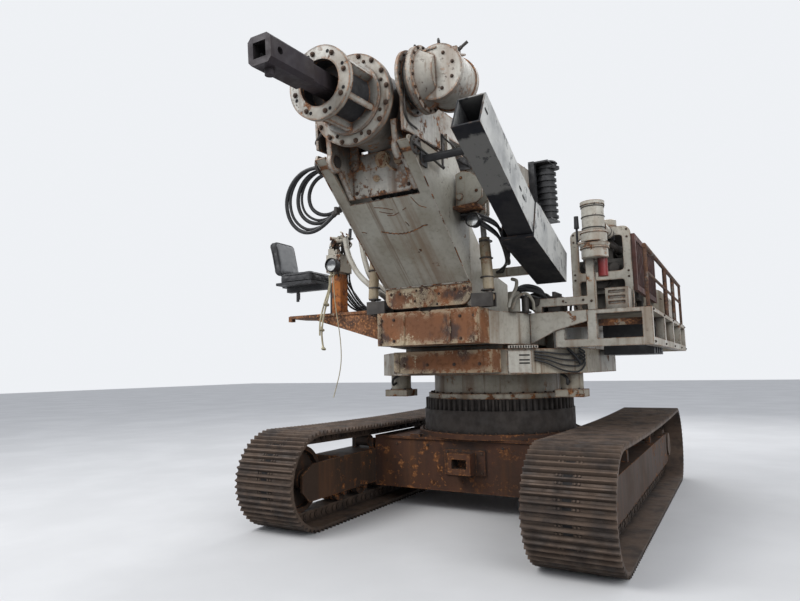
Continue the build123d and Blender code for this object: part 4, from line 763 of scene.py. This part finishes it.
@fits("dark", "arm")
def arm_brace(bm):
    # Triangle of thin rods beside the arm, with the rod that steadies the guard
    front, low, top = (0.492, -3.01, 3.372), (0.515, -2.51, 3.3), (0.515, -2.52, 3.585)
    rod(bm, front, low, 0.01)
    rod(bm, low, top, 0.011)
    rod(bm, top, (0.925, -2.33, 3.12), 0.008)
    for place in (front, low, top):
        bolt(bm, place, LEFT, 0.014)


@fits("white_arm", "arm")
def arm_bracket(bm):
    # Rounded plates between the arm and the guard
    outline = ((0.492, 3.33), (0.56, 3.352), (0.64, 3.33), (0.715, 3.265), (0.748, 3.18), (0.74, 3.085),
               (0.69, 3.045), (0.492, 3.035))
    for y in (-2.2, -2.06):
        prism(bm, [(x, y, z) for x, z in outline], (0, 0.016, 0))
    stack(bm, (0.53, -2.225, 3.115), BACK, (0.195, 0.03, 24))


@fits("weld_dark", "arm", "dark_steel")
def bracket_lip(bm):
    box(bm, (0.47, -2.225, 3.006), (0.7, -2.04, 3.03))
    for x, z in ((0.545, 3.29), (0.69, 3.15)):
        bolt(bm, (x, -2.2, z), FRONT, 0.012)


@fits("hose", "arm")
def inner_hoses(bm):
    # Dark hoses side by side inside the arm behind the foot plate, put there as painted shade to fill the
    # arm's hollow
    for number in range(13):
        x = -0.24 + 0.04 * number
        sway = 0.012 * math.sin(2.1 * number)
        tube(bm, [(x, -2.44, 3.17 + sway), (x + sway, -2.36, 3.205), (x, -2.22, 3.25 + sway), (x, -2.08, 3.2),
                  (x * 0.9, -1.88, 3.0 + sway)], 0.023, 10, 5)


@fits("bolt", "upper")
def front_bolts(bm):
    bolts(bm, FRONT, 0.013, (-0.5, -0.36, 0.36, 0.5), -1.9, (1.86, 2.07))
    bolts(bm, FRONT, 0.014, (-0.42, -0.15, 0.15, 0.42), -1.6, 1.62)
    bolt_ring(bm, (0, 0, 1.295), UP, 0.815, 36, 0.014, -math.pi / 4)


@fits("bolt", "undercarriage")
def ring_bolts(bm):
    bolt_ring(bm, (0, 0, 0.867), UP, 0.93, 40, 0.013, -math.pi / 4)


@fits("bolt", "undercarriage")
def hitch_trim(bm):
    bolts(bm, FRONT, 0.013, (-0.29, 0.12), -0.8905, (0.455, 0.66))
    bolts(bm, FRONT, 0.012, (-0.95, -0.55, 0.35, 0.75), -0.86, 0.72)


# Outer half height of the tracks, half the distance of their round ends, shoes and length of a track's loop
TRACK_RADIUS, TRACK_HALF, SHOES = 0.49, 2.11, 60
TRACK_LENGTH = 4 * TRACK_HALF + 2 * math.pi * TRACK_RADIUS
# Distance of each track's middle from the swing axis, and the sag of its upper run
TRACK_MIDDLE, TRACK_SAG = 1.45, 0.112


def shoe_place(side, along, depth):
    # Point of one track that far along its loop and that deep inside it, and the way outwards there
    reach, straight, bend = TRACK_RADIUS - depth, 2 * TRACK_HALF, math.pi * TRACK_RADIUS
    if along < straight:
        y, z, way = along - TRACK_HALF, depth, DOWN
    elif straight + bend <= along < 2 * straight + bend:
        part = (along - straight - bend) / straight
        y, z, way = TRACK_HALF - part * straight, 2 * TRACK_RADIUS - depth - TRACK_SAG * part * (1 - part), UP
    else:
        end = 1 if along < straight + bend else -1
        turn = (along - straight if end > 0 else along - 2 * straight - bend) / TRACK_RADIUS
        way = (0, end * math.sin(turn), -end * math.cos(turn))
        y, z = end * TRACK_HALF + reach * way[1], TRACK_RADIUS + reach * way[2]
    return Vector((side * TRACK_MIDDLE, y, z)), Vector(way)


def on_shoes(side, depth):
    # Two spots on each shoe's plate, between its three bars
    for shoe in range(SHOES):
        for bars in (0.96, 1.96):
            yield shoe_place(side, (shoe + bars / 3) * TRACK_LENGTH / SHOES, depth)


def shoe_bolts(bm, side):
    # Eight bolts on each shoe's plate
    for middle, way in on_shoes(side, 0.029):
        for x in (-0.085, -0.055, 0.055, 0.085):
            stack(bm, middle + Vector((x, 0, 0)), way, (0.009, 0.01, 6))


def shoe_holes(bm, side):
    # Holes in the middle of each shoe's plate, as thin dark pieces painted with the shade inside them
    for middle, way in on_shoes(side, 0.0285):
        slab(bm, middle, Vector((0.034, 0, 0)), Vector((0, way.z, -way.y)) * 0.014, way * 0.002)


def chain_links(bm, side):
    # Link plates and pins on both sides of each chain
    for number in range(SHOES):
        middle, way = shoe_place(side, (number + 0.5) * TRACK_LENGTH / SHOES, 0.1)
        run = Vector((0, -way.z, way.y)) * 0.055
        for hand in (-1, 1):
            place = middle + Vector((hand * 0.1005, 0, 0))
            for end, disc in ((-1, (0.012, 0.036, 14)), (1, (0.008, 0.03, 14)), (-1, (0.018, 0.016, 10))):
                stack(bm, place + end * run, (hand, 0, 0), disc)


@fits("red", "upper")
def red_can(bm):
    stack(bm, (1.5, -0.955, 2.46), UP, (0.18, 0.048, 26), (0.025, 0.048, 26, 0.022), (0.035, 0.018, 14))


@fits("white", "upper")
def filter_tank(bm):
    # Stepped housing under the air cleaner
    stack(bm, (*CLEANER, 2.779), DOWN, (0.049, 0.15, 32, 0.128), (0.09, 0.128, 32))
    hoop(bm, (*CLEANER, 2.735), UP, 0.136, 0.007, 8, 40)


@fits("white", "upper")
def mufflers(bm):
    # Two domed canisters on the engine housing's roof
    for x, y, radius, high in ((1.46, -0.3, 0.085, 0.115), (1.53, 0.02, 0.075, 0.09)):
        stack(bm, (x, y, 3.039), UP, (high, radius, 30), (0.013, radius, 30, radius * 0.72))
        hoop(bm, (x, y, 3.044 + high * 0.4), UP, radius + 0.002, 0.004, 8, 36)


def lens_disc(bm, centre, radius):
    # Shallow dome inside the lamp's rim
    stack(bm, centre, FRONT, (0.006, radius, 32), (0.005, radius * 0.92, 32, radius * 0.6))


fitting("left_lens", partial(lens_disc, centre=(-1.151, -1.8602, 2.718), radius=0.063), "lens", "upper")
fitting("right_lens", partial(lens_disc, centre=(0.6, -2.0902, 2.918), radius=0.056), "lens", "arm")


@fits("dark", "upper")
def lamp_trim(bm):
    hoop(bm, (-1.151, -1.879, 2.718), BACK, 0.071, 0.004, 8, 32)
    rod(bm, (-1.151, -1.762, 2.775), (-1.151, -1.7, 2.775), 0.006, 10)
    tube(bm, [(-1.151, -1.762, 2.7), (-1.16, -1.72, 2.62), (-1.2, -1.68, 2.64)], 0.006)


@fits("dark", "arm")
def right_lamp_trim(bm):
    hoop(bm, (0.6, -2.109, 2.918), BACK, 0.064, 0.004, 8, 32)
    tube(bm, [(0.6, -1.992, 2.918), (0.585, -1.96, 2.9), (0.52, -1.95, 2.93), (0.475, -1.96, 2.96)], 0.006)


@fits("rope", "upper")
def rope_knots(bm):
    for x, y, z, size in (
            (-1.226, -1.855, 2.292, 0.03), (-1.286, -1.855, 2.02, 0.026), (-1.268, -1.851, 1.815, 0.024)):
        for lift, angle in ((0, 0), (0.012, 0.9)):
            way = (math.sin(angle), 0.4, math.cos(angle))
            hoop(bm, (x, y, z + lift), way, size * 0.72, size * 0.42, 10, 16)
    hoop(bm, (-1.165, -1.85, 2.6), UP, 0.017, 0.008, 8, 16)
    hoop(bm, (-1.13, -1.85, 2.61), UP, 0.011, 0.005, 8, 16)


@fits("rope", "upper")
def rope_double(bm):
    # Second strand laid beside the first down to the knot
    tube(bm, [(-1.185, -1.85, 2.6), (-1.188, -1.852, 2.48), (-1.252, -1.858, 2.3), (-1.306, -1.858, 2.12),
              (-1.314, -1.857, 1.96)], 0.009)


@fits("hose", "upper")
def control_hoses(bm):
    for number in range(7):
        x = -1.3 + 0.029 * number
        reach = 0.04 * (number % 3)
        tube(bm, [(x, -1.56, 2.665), (x, -1.545, 2.56), (x + 0.02, -1.48 + reach, 2.42),
                  (x + 0.1, -1.43 + reach, 2.3), (x + 0.24, -1.4 + reach, 2.225)], 0.011)


@fits("dark", "upper")
def control_valves(bm):
    for number in range(5):
        x = -1.291 + 0.038 * number
        box(bm, (x - 0.014, -1.752, 2.69), (x + 0.014, -1.738, 2.77))
        bolt(bm, (x, -1.752, 2.73), FRONT, 0.006)
        stack(bm, (x, -1.63, 2.856), UP, (0.018, 0.014, 12, 0.01))
        bolt(bm, (x, -1.58, 2.86), UP, 0.006)
        stack(bm, (x, -1.56, 2.664), DOWN, (0.018, 0.013, 6))


@fits("dark", "upper", "engine_paint")
def engine_parts(bm):
    # Pulleys and belt at the front, covers, pipes and a filter at the side
    stack(bm, (1.37, -0.4, 2.5), FRONT, (0.04, 0.095, 28), (0.015, 0.04, 16))
    for x, z, radius in ((1.52, 2.62, 0.05), (1.24, 2.66, 0.045)):
        stack(bm, (x, -0.4, z), FRONT, (0.04, radius, 22))
    belt = ((1.37, 2.4), (1.28, 2.47), (1.193, 2.655), (1.24, 2.708), (1.38, 2.69), (1.52, 2.672),
            (1.572, 2.62), (1.46, 2.45))
    tube(bm, [(x, -0.425, z) for x, z in belt], 0.008, 8, 6, True)
    for y in (-0.3, -0.05, 0.2, 0.45, 0.7):
        box(bm, (1.225, y - 0.09, 2.979), (1.395, y + 0.09, 3.0))
        bolt(bm, (1.31, y, 3.0), UP, 0.009)
    for y in (-0.2, 0.1):
        stack(bm, (1.622, y, 2.33), UP, (0.18, 0.05, 24), (0.02, 0.038, 20))
    tube(bm, [(1.62, 0.35, 2.45), (1.66, 0.38, 2.52), (1.66, 0.42, 2.66), (1.62, 0.46, 2.74)], 0.02)
    tube(bm, [(1.12, -0.3, 2.62), (1.08, -0.34, 2.56), (1.08, -0.38, 2.4), (1.12, -0.36, 2.3)], 0.022)
    tube(bm, [(1.56, -0.3, 2.8), (1.56, -0.38, 2.82), (1.5, -0.42, 2.88), (1.44, -0.4, 2.96)], 0.034)


@fits("bolt", "upper")
def frame_bolts(bm):
    bolts(bm, FRONT, 0.009, (1.125, 1.675), -0.52, (2.2, 2.5, 2.56, 2.92, 3.0))
    for x, z in ((1.38, 2.22), (1.38, 2.74), (0.84, 2.22), (1.1, 2.235), (1.3, 2.235)):
        bolt(bm, (x, -0.99, z), FRONT, 0.01)
    bolts(bm, LEFT, 0.011, 1.93, (-0.9, 0.0, 0.945, 1.845, 2.55), (1.8, 2.11))
    bolts(bm, UP, 0.008, (1.868, 1.922), (-0.955, 0.6, 0.72, 1.5, 1.62, 2.54), 2.1305)
    bolts(bm, BACK, 0.012, (-0.4, -0.2, 0.2, 0.4), 2.6, 1.9)


@fits("rust_dark", "upper")
def tread_bars(bm):
    # Raised treads on the walkway and the operator's platform, every other row slanted the other way
    for rows, columns, x0, y0, pitch, step, skew, half, low, high in (
            (44, 3, 1.735, -0.9, 0.055, 0.078, 0.026, 0.011, 2.129, 2.1325),
            (4, 9, -1.7, -1.76, 0.062, 0.062, 0.03, 0.013, 2.199, 2.2035)):
        for row, column in product(range(rows), range(columns)):
            odd = row % 2
            x, y = x0 + pitch * column + skew * odd, y0 + step * row
            box(bm, (x - half, y - 0.003, low), (x + half, y + 0.003, high), 0.8 if odd else -0.8)


@fits("dark", "upper")
def tank_trim(bm):
    strap = ((1.249, 2.16), (1.249, 2.38), (1.262, 2.455), (1.31, 2.525), (1.37, 2.5515), (1.535, 2.5515),
             (1.7, 2.5515), (1.76, 2.525), (1.808, 2.455), (1.821, 2.38), (1.821, 2.16))
    for y in (1.55, 2.2):
        tube(bm, [(x, y, z) for x, z in strap], 0.009, 8, 5)
    stack(bm, (1.52, 1.42, 2.55), UP, (0.04, 0.045, 20), (0.022, 0.06, 8))
    stack(bm, (1.54, 1.299, 2.24), FRONT, (0.029, 0.03, 6))


@fits("dark", "upper")
def cleaner_trim(bm):
    for z in (2.935, 3.05, 3.15):
        hoop(bm, (*CLEANER, z), UP, 0.11, 0.005, 8, 40)
    hoop(bm, (1.5, -0.7, 2.96), BACK, 0.056, 0.007, 8, 28)
    bolt_ring(bm, (*CLEANER, 3.166), UP, 0.115, 4, 0.007, 0.4 - math.pi / 4)


@fits("black", "upper", "hose_rubber")
def cleaner_duct(bm):
    tube(bm, [(1.5, -0.59, 2.96), (1.5, -0.5, 2.97), (1.49, -0.4, 3.0), (1.47, -0.28, 3.02),
              (1.45, -0.16, 2.99)], 0.05, 20, 6)


# The base's sloping front corner on the machine's left
FACET_START, FACET_END = Vector((0.6, -1.33, 0)), Vector((1.24, -0.7, 0))
FACET_RUN = (FACET_END - FACET_START).normalized()
FACET_OUT = Vector((FACET_RUN.y, -FACET_RUN.x, 0))


def on_facet(along, out, z):
    return FACET_START + FACET_RUN * along + FACET_OUT * out + Vector((0, 0, z))


def facet_block(bm, left, right, inner, outer, low, high):
    corners = ((left, inner), (right, inner), (right, outer), (left, outer))
    prism(bm, [on_facet(along, out, low) for along, out in corners], (0, 0, high - low))


@fits("white", "upper")
def slot_plate(bm):
    facet_block(bm, 0.01, 0.27, 0.0, 0.012, 1.522, 1.745)
    facet_block(bm, 0.0, 0.33, 0.0, 0.04, 1.768, 1.8)


@fits("hole", "upper")
def plate_slots(bm):
    # Slots of the plate, as thin dark pieces painted with the shade inside them
    for z in (1.62, 1.652, 1.7):
        facet_block(bm, 0.13, 0.245, 0.0115, 0.0135, z - 0.007, z + 0.007)
    for number in range(11):
        along = 0.02 + 0.028 * number
        facet_block(bm, along, along + 0.016, 0.0395, 0.0415, 1.772, 1.794)


@fits("hose", "upper")
def base_lines(bm):
    # Hydraulic lines that hang on the base's corner, and at the swing motors
    for number in range(4):
        z = 1.735 - 0.028 * number
        sag = 0.03 + 0.026 * number
        tube(bm, [on_facet(0.3, 0.02, z), on_facet(0.42, 0.03, z - 0.3 * sag), on_facet(0.6, 0.034, z - sag),
                  on_facet(0.78, 0.03, z - 1.15 * sag), on_facet(0.86, 0.026, z - 0.4 * sag),
                  on_facet(0.8, 0.022, z + 0.03)], 0.009)
    tube(bm, [on_facet(0.66, 0.03, 1.765), on_facet(0.74, 0.036, 1.69), on_facet(0.8, 0.034, 1.61)], 0.015)
    for x, y in ((-1.015, -0.62), (1.04, -0.56)):
        tube(bm, [(x, y - 0.12, 1.42), (x, y - 0.19, 1.4), (x, y - 0.2, 1.46), (x * 0.93, y - 0.16, 1.512)],
             0.014)
        for number in range(4):
            angle = math.tau * number / 4 + 0.78
            bolt(bm, (x + 0.13 * math.cos(angle), y + 0.11 * math.sin(angle), 1.34), UP, 0.012)


@fits("rust_dark", "upper")
def bay_channel(bm):
    # Rusty channel behind the front posts of the side platform
    box(bm, (1.02, -0.9, 1.975), (1.83, -0.83, 1.99))
    box(bm, (1.02, -0.9, 1.99), (1.83, -0.885, 2.04))
    box(bm, (1.02, -0.845, 1.99), (1.83, -0.83, 2.04))


@fits("black", "upper")
def under_box(bm):
    # Dark ribbed housing hung below the side platform
    box(bm, (1.3, -0.1, 1.7), (1.82, 0.7, 2.089))
    for y in (0.05, 0.25, 0.45):
        box(bm, (1.29, y, 1.705), (1.83, y + 0.03, 2.085))


@fits("dark", "upper")
def pump_group(bm):
    # Pumps, valve block and filters on the deck beside the arm
    stack(bm, (0.8, -0.96, 2.255), BACK, (0.4, 0.095, 28))
    stack(bm, (0.8, -0.72, 2.255), BACK, (0.03, 0.122, 28))
    stack(bm, (0.8, -0.96, 2.255), FRONT, (0.05, 0.06, 20))
    box(bm, (0.935, -0.96, DECK_TOP), (1.06, -0.66, 2.3))
    for number in range(5):
        y = -0.94 + 0.058 * number
        stack(bm, (0.998, y, 2.3), UP, (0.045, 0.02, 14))
        stack(bm, (1.06, y, 2.23), LEFT, (0.032, 0.016, 6))
        stack(bm, (0.935, y, 2.19), (-1, 0, 0), (0.03, 0.014, 6))
    for x in (0.64, 0.735):
        stack(bm, (x, -1.08, DECK_TOP), UP, (0.159, 0.038, 20), (0.025, 0.026, 14))
    box(bm, (0.6, -1.125, DECK_TOP), (0.78, -1.03, 2.15))


@fits("hose", "upper")
def service_hoses(bm):
    draw = random.Random(5)
    for number in range(7):
        lift, lean = draw.uniform(-0.06, 0.03), draw.uniform(-0.06, 0.05)
        tube(bm, [(0.64 + 0.015 * number, -1.08, 2.29), (0.65, -1.13 + lean, 2.36 + 0.4 * lift),
                  (0.73 + lean, -1.1 + lean, 2.39 + lift), (0.85 + lean, -1.01, 2.35 + lift),
                  (0.9 + 0.5 * lean, -0.95, 2.27), (0.915, -0.93 + 0.03 * number, 2.19)],
             draw.choice((0.011, 0.014, 0.018)), 10, 5)
    tube(bm, [(1.092, -0.94, 2.23), (1.13, -0.98, 2.22), (1.15, -0.9, 2.2), (1.12, -0.78, 2.16)], 0.013)
    tube(bm, [(1.092, -0.82, 2.23), (1.15, -0.84, 2.26), (1.16, -0.7, 2.2)], 0.013)


@fits("hose", "upper")
def deck_hoses(bm):
    # Dark hoses across the deck behind the arm foot, put there as painted shade to fill the gap below the
    # foot
    for y, z in ((-1.672, 2.152), (-1.668, 2.193), (-1.62, 2.152), (-1.628, 2.196)):
        tube(bm, [(-0.545, y + 0.06, 2.14), (-0.52, y + 0.02, z), (-0.3, y, z), (-0.09, y, z),
                  (-0.06, y + 0.03, 2.14)], 0.022, 12, 6)


@fits("pale_hose", "upper")
def pale_pipes(bm):
    # Pale bent pipes beside the tilt cylinder
    tube(bm, [(0.735, -1.6, 2.15), (0.76, -1.59, 2.24), (0.8, -1.56, 2.33), (0.79, -1.5, 2.41),
              (0.73, -1.45, 2.44)], 0.017, 12, 6)
    tube(bm, [(0.7, -1.4, 2.15), (0.745, -1.38, 2.26), (0.83, -1.35, 2.3), (0.88, -1.3, 2.23),
              (0.885, -1.28, 2.14)], 0.014, 12, 6)
    rod(bm, (0.69, -1.3, DECK_TOP), (0.69, -1.3, 2.33), 0.06, 24)


@fits("black", "upper")
def black_grips(bm):
    stack(bm, (1.275, -1.0, 2.8), UP, (0.16, 0.012, 12), (0.125, 0.026, 16, 0.022))
    rod(bm, (-1.16, -1.52, 2.9), (-1.15, -1.51, 3.06), 0.011, 12)
    rod(bm, (-1.15, -1.51, 3.06), (-1.143, -1.503, 3.185), 0.021, 16, 0.018)


@fits("mottled", "upper")
def control_cluster(bm):
    # Jumble of valve bodies, spools and elbows above the levers' bank
    draw = random.Random(7)
    for number in range(26):
        x, y, z = draw.uniform(-1.29, -1.08), draw.uniform(-1.72, -1.56), draw.uniform(2.88, 3.06)
        size = draw.uniform(0.018, 0.04)
        if number % 3 == 0:
            box(bm, (x - size, y - size, z - size), (x + size, y + size, z + size), draw.uniform(0, 1.5))
        elif number % 3 == 1:
            way = Vector((draw.uniform(-1, 1), draw.uniform(-1, 1), draw.uniform(-0.4, 1))).normalized()
            place = Vector((x, y, z))
            rod(bm, place - way * size * 1.6, place + way * size * 1.6, size * 0.7, 16)
        else:
            tube(bm, [(x, y, z - 0.06), (x + size, y - size, z), (x + 1.6 * size, y, z + 0.05),
                      (x, y + size, z + 0.09)], 0.009, 8, 4)


@fits("dark", "upper")
def cluster_lines(bm):
    draw = random.Random(11)
    for number in range(9):
        x = -1.285 + 0.026 * number
        tube(bm, [(x, -1.64, 2.862), (x + draw.uniform(-0.03, 0.03), -1.7, 2.93 + draw.uniform(0, 0.04)),
                  (x + draw.uniform(-0.03, 0.03), -1.68, 3.01 + draw.uniform(0, 0.05)),
                  (x + draw.uniform(-0.02, 0.05), -1.6, 3.04)], 0.008, 8, 5)


@fits("black", "mast")
def tail_cap(bm):
    stack(bm, (*TAIL, 4.012), UP, (0.022, 0.165, 40, 0.15))


@fits("bolt", "mast")
def tail_trim(bm):
    bolt_ring(bm, (*TAIL, 4.01), UP, 0.1, 8, 0.01)
    bolts(bm, LEFT, 0.01, 0.3923, (0.55, 0.62, 0.83, 0.9), (3.56, 3.95))


@fits("dark", "mast")
def mast_lines(bm):
    for x in (-0.318, 0.318):
        line = ((-2.24, 3.922), (-1.6, 3.928), (-0.8, 3.926), (0.2, 3.928), (0.8, 3.924))
        tube(bm, [(x, y, z) for y, z in line], 0.011)
        for y in (-2.0, -1.2, -0.4, 0.4):
            box(bm, (x - 0.03, y - 0.02, 3.913), (x + 0.03, y + 0.02, 3.941))
            bolt(bm, (x + 0.022, y, 3.941), UP, 0.006)


def cylinder_bands(bm, side):
    # Bands of one tilt cylinder
    for y, z in ((-1.829, 2.3), (-1.832, 2.42), (-1.836, 2.6), (-1.84, 2.76)):
        hoop(bm, (side * 0.62, y, z), (0, 0.02, 1), 0.058, 0.007, 8, 30)


for side, hand in ((1, "left"), (-1, "right")):
    for build, *how in (
            (cylinder_bands, "dark", "tilt_barrel_" + hand), (shoe_bolts, "track", "undercarriage"),
            (shoe_holes, "hole", "undercarriage", "track_steel"), (chain_links, "track", "undercarriage")):
        fitting(build.__name__ + "_" + hand, partial(build, side=side), *how)


# Seat cushions: blown up as cloth from slightly smaller copies of their solids
VOXEL, PRESSURE, CLOTH_FRAMES = 0.006, 4, 20
INSET, FURTHEST_MOVE, FILL = 0.012, 0.016, 0.8


def evaluated(piece):
    bpy.context.view_layer.update()
    graph = bpy.context.evaluated_depsgraph_get()
    return bpy.data.meshes.new_from_object(piece.evaluated_get(graph))


def puff(piece):
    # Cloth under pressure, with no point moved further than FURTHEST_MOVE
    before = [vertex.co.copy() for vertex in piece.data.vertices]
    cloth = piece.modifiers.new("cloth", "CLOTH")
    cloth.settings.use_pressure = True
    cloth.settings.uniform_pressure_force = PRESSURE
    cloth.settings.effector_weights.gravity = 0
    for step in range(1, CLOTH_FRAMES + 1):
        SCENE.frame_set(step)
    puffed = evaluated(piece)
    piece.modifiers.clear()
    SCENE.frame_set(1)
    for vertex, start in zip(puffed.vertices, before):
        move = vertex.co - start
        if move.length > FURTHEST_MOVE:
            vertex.co = start + move * FURTHEST_MOVE / move.length
    piece.data = puffed


def cushion(node_name, material, shrink=(1, 1, 1)):
    # Padded copy of a soft solid, shrunk about its lowest middle point and then a little all round
    source = NODES[node_name]
    data = source.data.copy()
    data.transform(source.matrix_world)
    low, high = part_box(node_name)
    foot = Vector(((low.x + high.x) / 2, (low.y + high.y) / 2, low.z))
    for vertex in data.vertices:
        vertex.co = foot + Vector(part * scale for part, scale in zip(vertex.co - foot, shrink))
    data.name = node_name + "_padded"
    middle = sum((vertex.co for vertex in data.vertices), Vector()) / len(data.vertices)
    reach = max((vertex.co - middle).length for vertex in data.vertices)
    for vertex in data.vertices:
        vertex.co = middle + (vertex.co - middle) * (1 - INSET / reach)
    piece = add(node_name + "_padded", data, material, "upper")
    remesh = piece.modifiers.new("remesh", "REMESH")
    remesh.mode = "VOXEL"
    remesh.voxel_size = VOXEL
    rest = evaluated(piece)
    piece.modifiers.clear()
    piece.data = rest
    puff(piece)
    soften = piece.modifiers.new("soften", "SMOOTH")
    soften.factor = 0.5
    soften.iterations = 24
    finish = piece.modifiers.new("finish", "SUBSURF")
    finish.levels = finish.render_levels = 1
    piece.data = evaluated(piece)
    piece.modifiers.clear()
    piece.data.materials.clear()
    piece.data.materials.append(M[material])
    piece.data.shade_smooth()
    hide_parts(node_name)
    return piece


PAN = cushion("seat_cushion", "seat")
REST = cushion("seat_back", "seat_sheen", (1, 0.86, 0.84))


def rounded_loop(half_x, half_y, radius):
    points = []
    for number, (x, y) in enumerate(((1, 1), (-1, 1), (-1, -1), (1, -1))):
        for step in range(6):
            angle = math.pi / 2 * (number + step / 5)
            points.append((x * (half_x - radius) + radius * math.cos(angle),
                           y * (half_y - radius) + radius * math.sin(angle)))
    return points


# The middle of the seat's leaning back
BACK_PLACE = (Matrix.Translation((-1.96, -1.6, 2.6903)) @ Matrix.Rotation(math.radians(-12), 4, "Y")
              @ Matrix.Translation((-0.01, 0, 0.218)))


def hugging(piece, points):
    # The points moved onto the padded surface
    tree = BVHTree.FromPolygons([vertex.co for vertex in piece.data.vertices],
                                [face.vertices[:] for face in piece.data.polygons])
    return [tree.find_nearest(Vector(point) + SHIFT)[0] - SHIFT for point in points]


@fits("seat", "upper")
def seat_piping(bm):
    # Piping on the seams of the cushion and the back
    for z in (2.604, 2.678):
        loop = [(-1.705 + x, -1.6 + y, z) for x, y in rounded_loop(0.238, 0.213, 0.06)]
        tube(bm, hugging(PAN, loop), 0.0045, 8, 1, True)
    for x in (-0.036, 0.036):
        loop = [BACK_PLACE @ Vector((x, y, z)) for y, z in rounded_loop(0.186, 0.212, 0.06)]
        tube(bm, hugging(REST, loop), 0.0045, 8, 1, True)


# Floor, light and world: the lamps' names, places, aims, sizes in metres and powers in watts
FLOOR_HALF = 60
LAMPS = (("key", (-5, -9, 11), (0, -1, 1.8), 6, 1000), ("fill", (9, -6, 7), (0, 0, 1.5), 8, 430),
         ("back", (0, 10, 9), (0, 0, 2), 8, 500))


def make_floor():
    look = Look("floor_pale")
    shown = mix(look.cloud(0.6, 4, 0.35, 0.7), (0.66, 0.66, 0.66), (0.72, 0.72, 0.72))
    rays = make(look.tree, "LightPath").outputs
    seen = plus(rays["Is Camera Ray"], rays["Is Glossy Ray"])
    put(look.inputs["Base Color"], mix(seen, (0.26, 0.26, 0.26), shown))
    put(look.inputs["Roughness"], 0.9)
    data = bpy.data.meshes.new("floor")
    corners = [(x * FLOOR_HALF, y * FLOOR_HALF, 0) for x, y in ((-1, -1), (1, -1), (1, 1), (-1, 1))]
    data.from_pydata(corners, [], [(0, 1, 2, 3)])
    data.materials.append(look.material)
    floor = place_object("floor", data)


def make_lights():
    for name, place, aim, size, power in LAMPS:
        lamp = bpy.data.lights.new(name, "AREA")
        lamp.energy = power
        lamp.size = size
        light = place_object(name, lamp)
        light.location = place
        light.rotation_euler = (Vector(aim) - Vector(place)).to_track_quat("-Z", "Y").to_euler()


def make_world():
    # A soft sky lights the object, and a paler one is what the camera, gloss and glass see
    world = bpy.data.worlds.new("studio")
    SCENE.world = world
    world.use_nodes = True
    tree = world.node_tree
    tree.nodes.clear()
    soft = make(tree, "Background", Color=(0.88, 0.92, 1.0), Strength=0.62)
    seen = make(tree, "Background", Color=(0.86, 0.88, 0.91), Strength=1.0)
    rays = make(tree, "LightPath").outputs
    straight = plus(plus(rays["Is Camera Ray"], rays["Is Glossy Ray"]), rays["Is Transmission Ray"])
    choose = make(tree, "MixShader")
    for number, value in enumerate((straight, soft.outputs[0], seen.outputs[0])):
        put(choose.inputs[number], value)
    make(tree, "OutputWorld", Surface=choose.outputs[0])


make_floor()
make_lights()
make_world()
SCENE.view_settings.view_transform = "Standard"
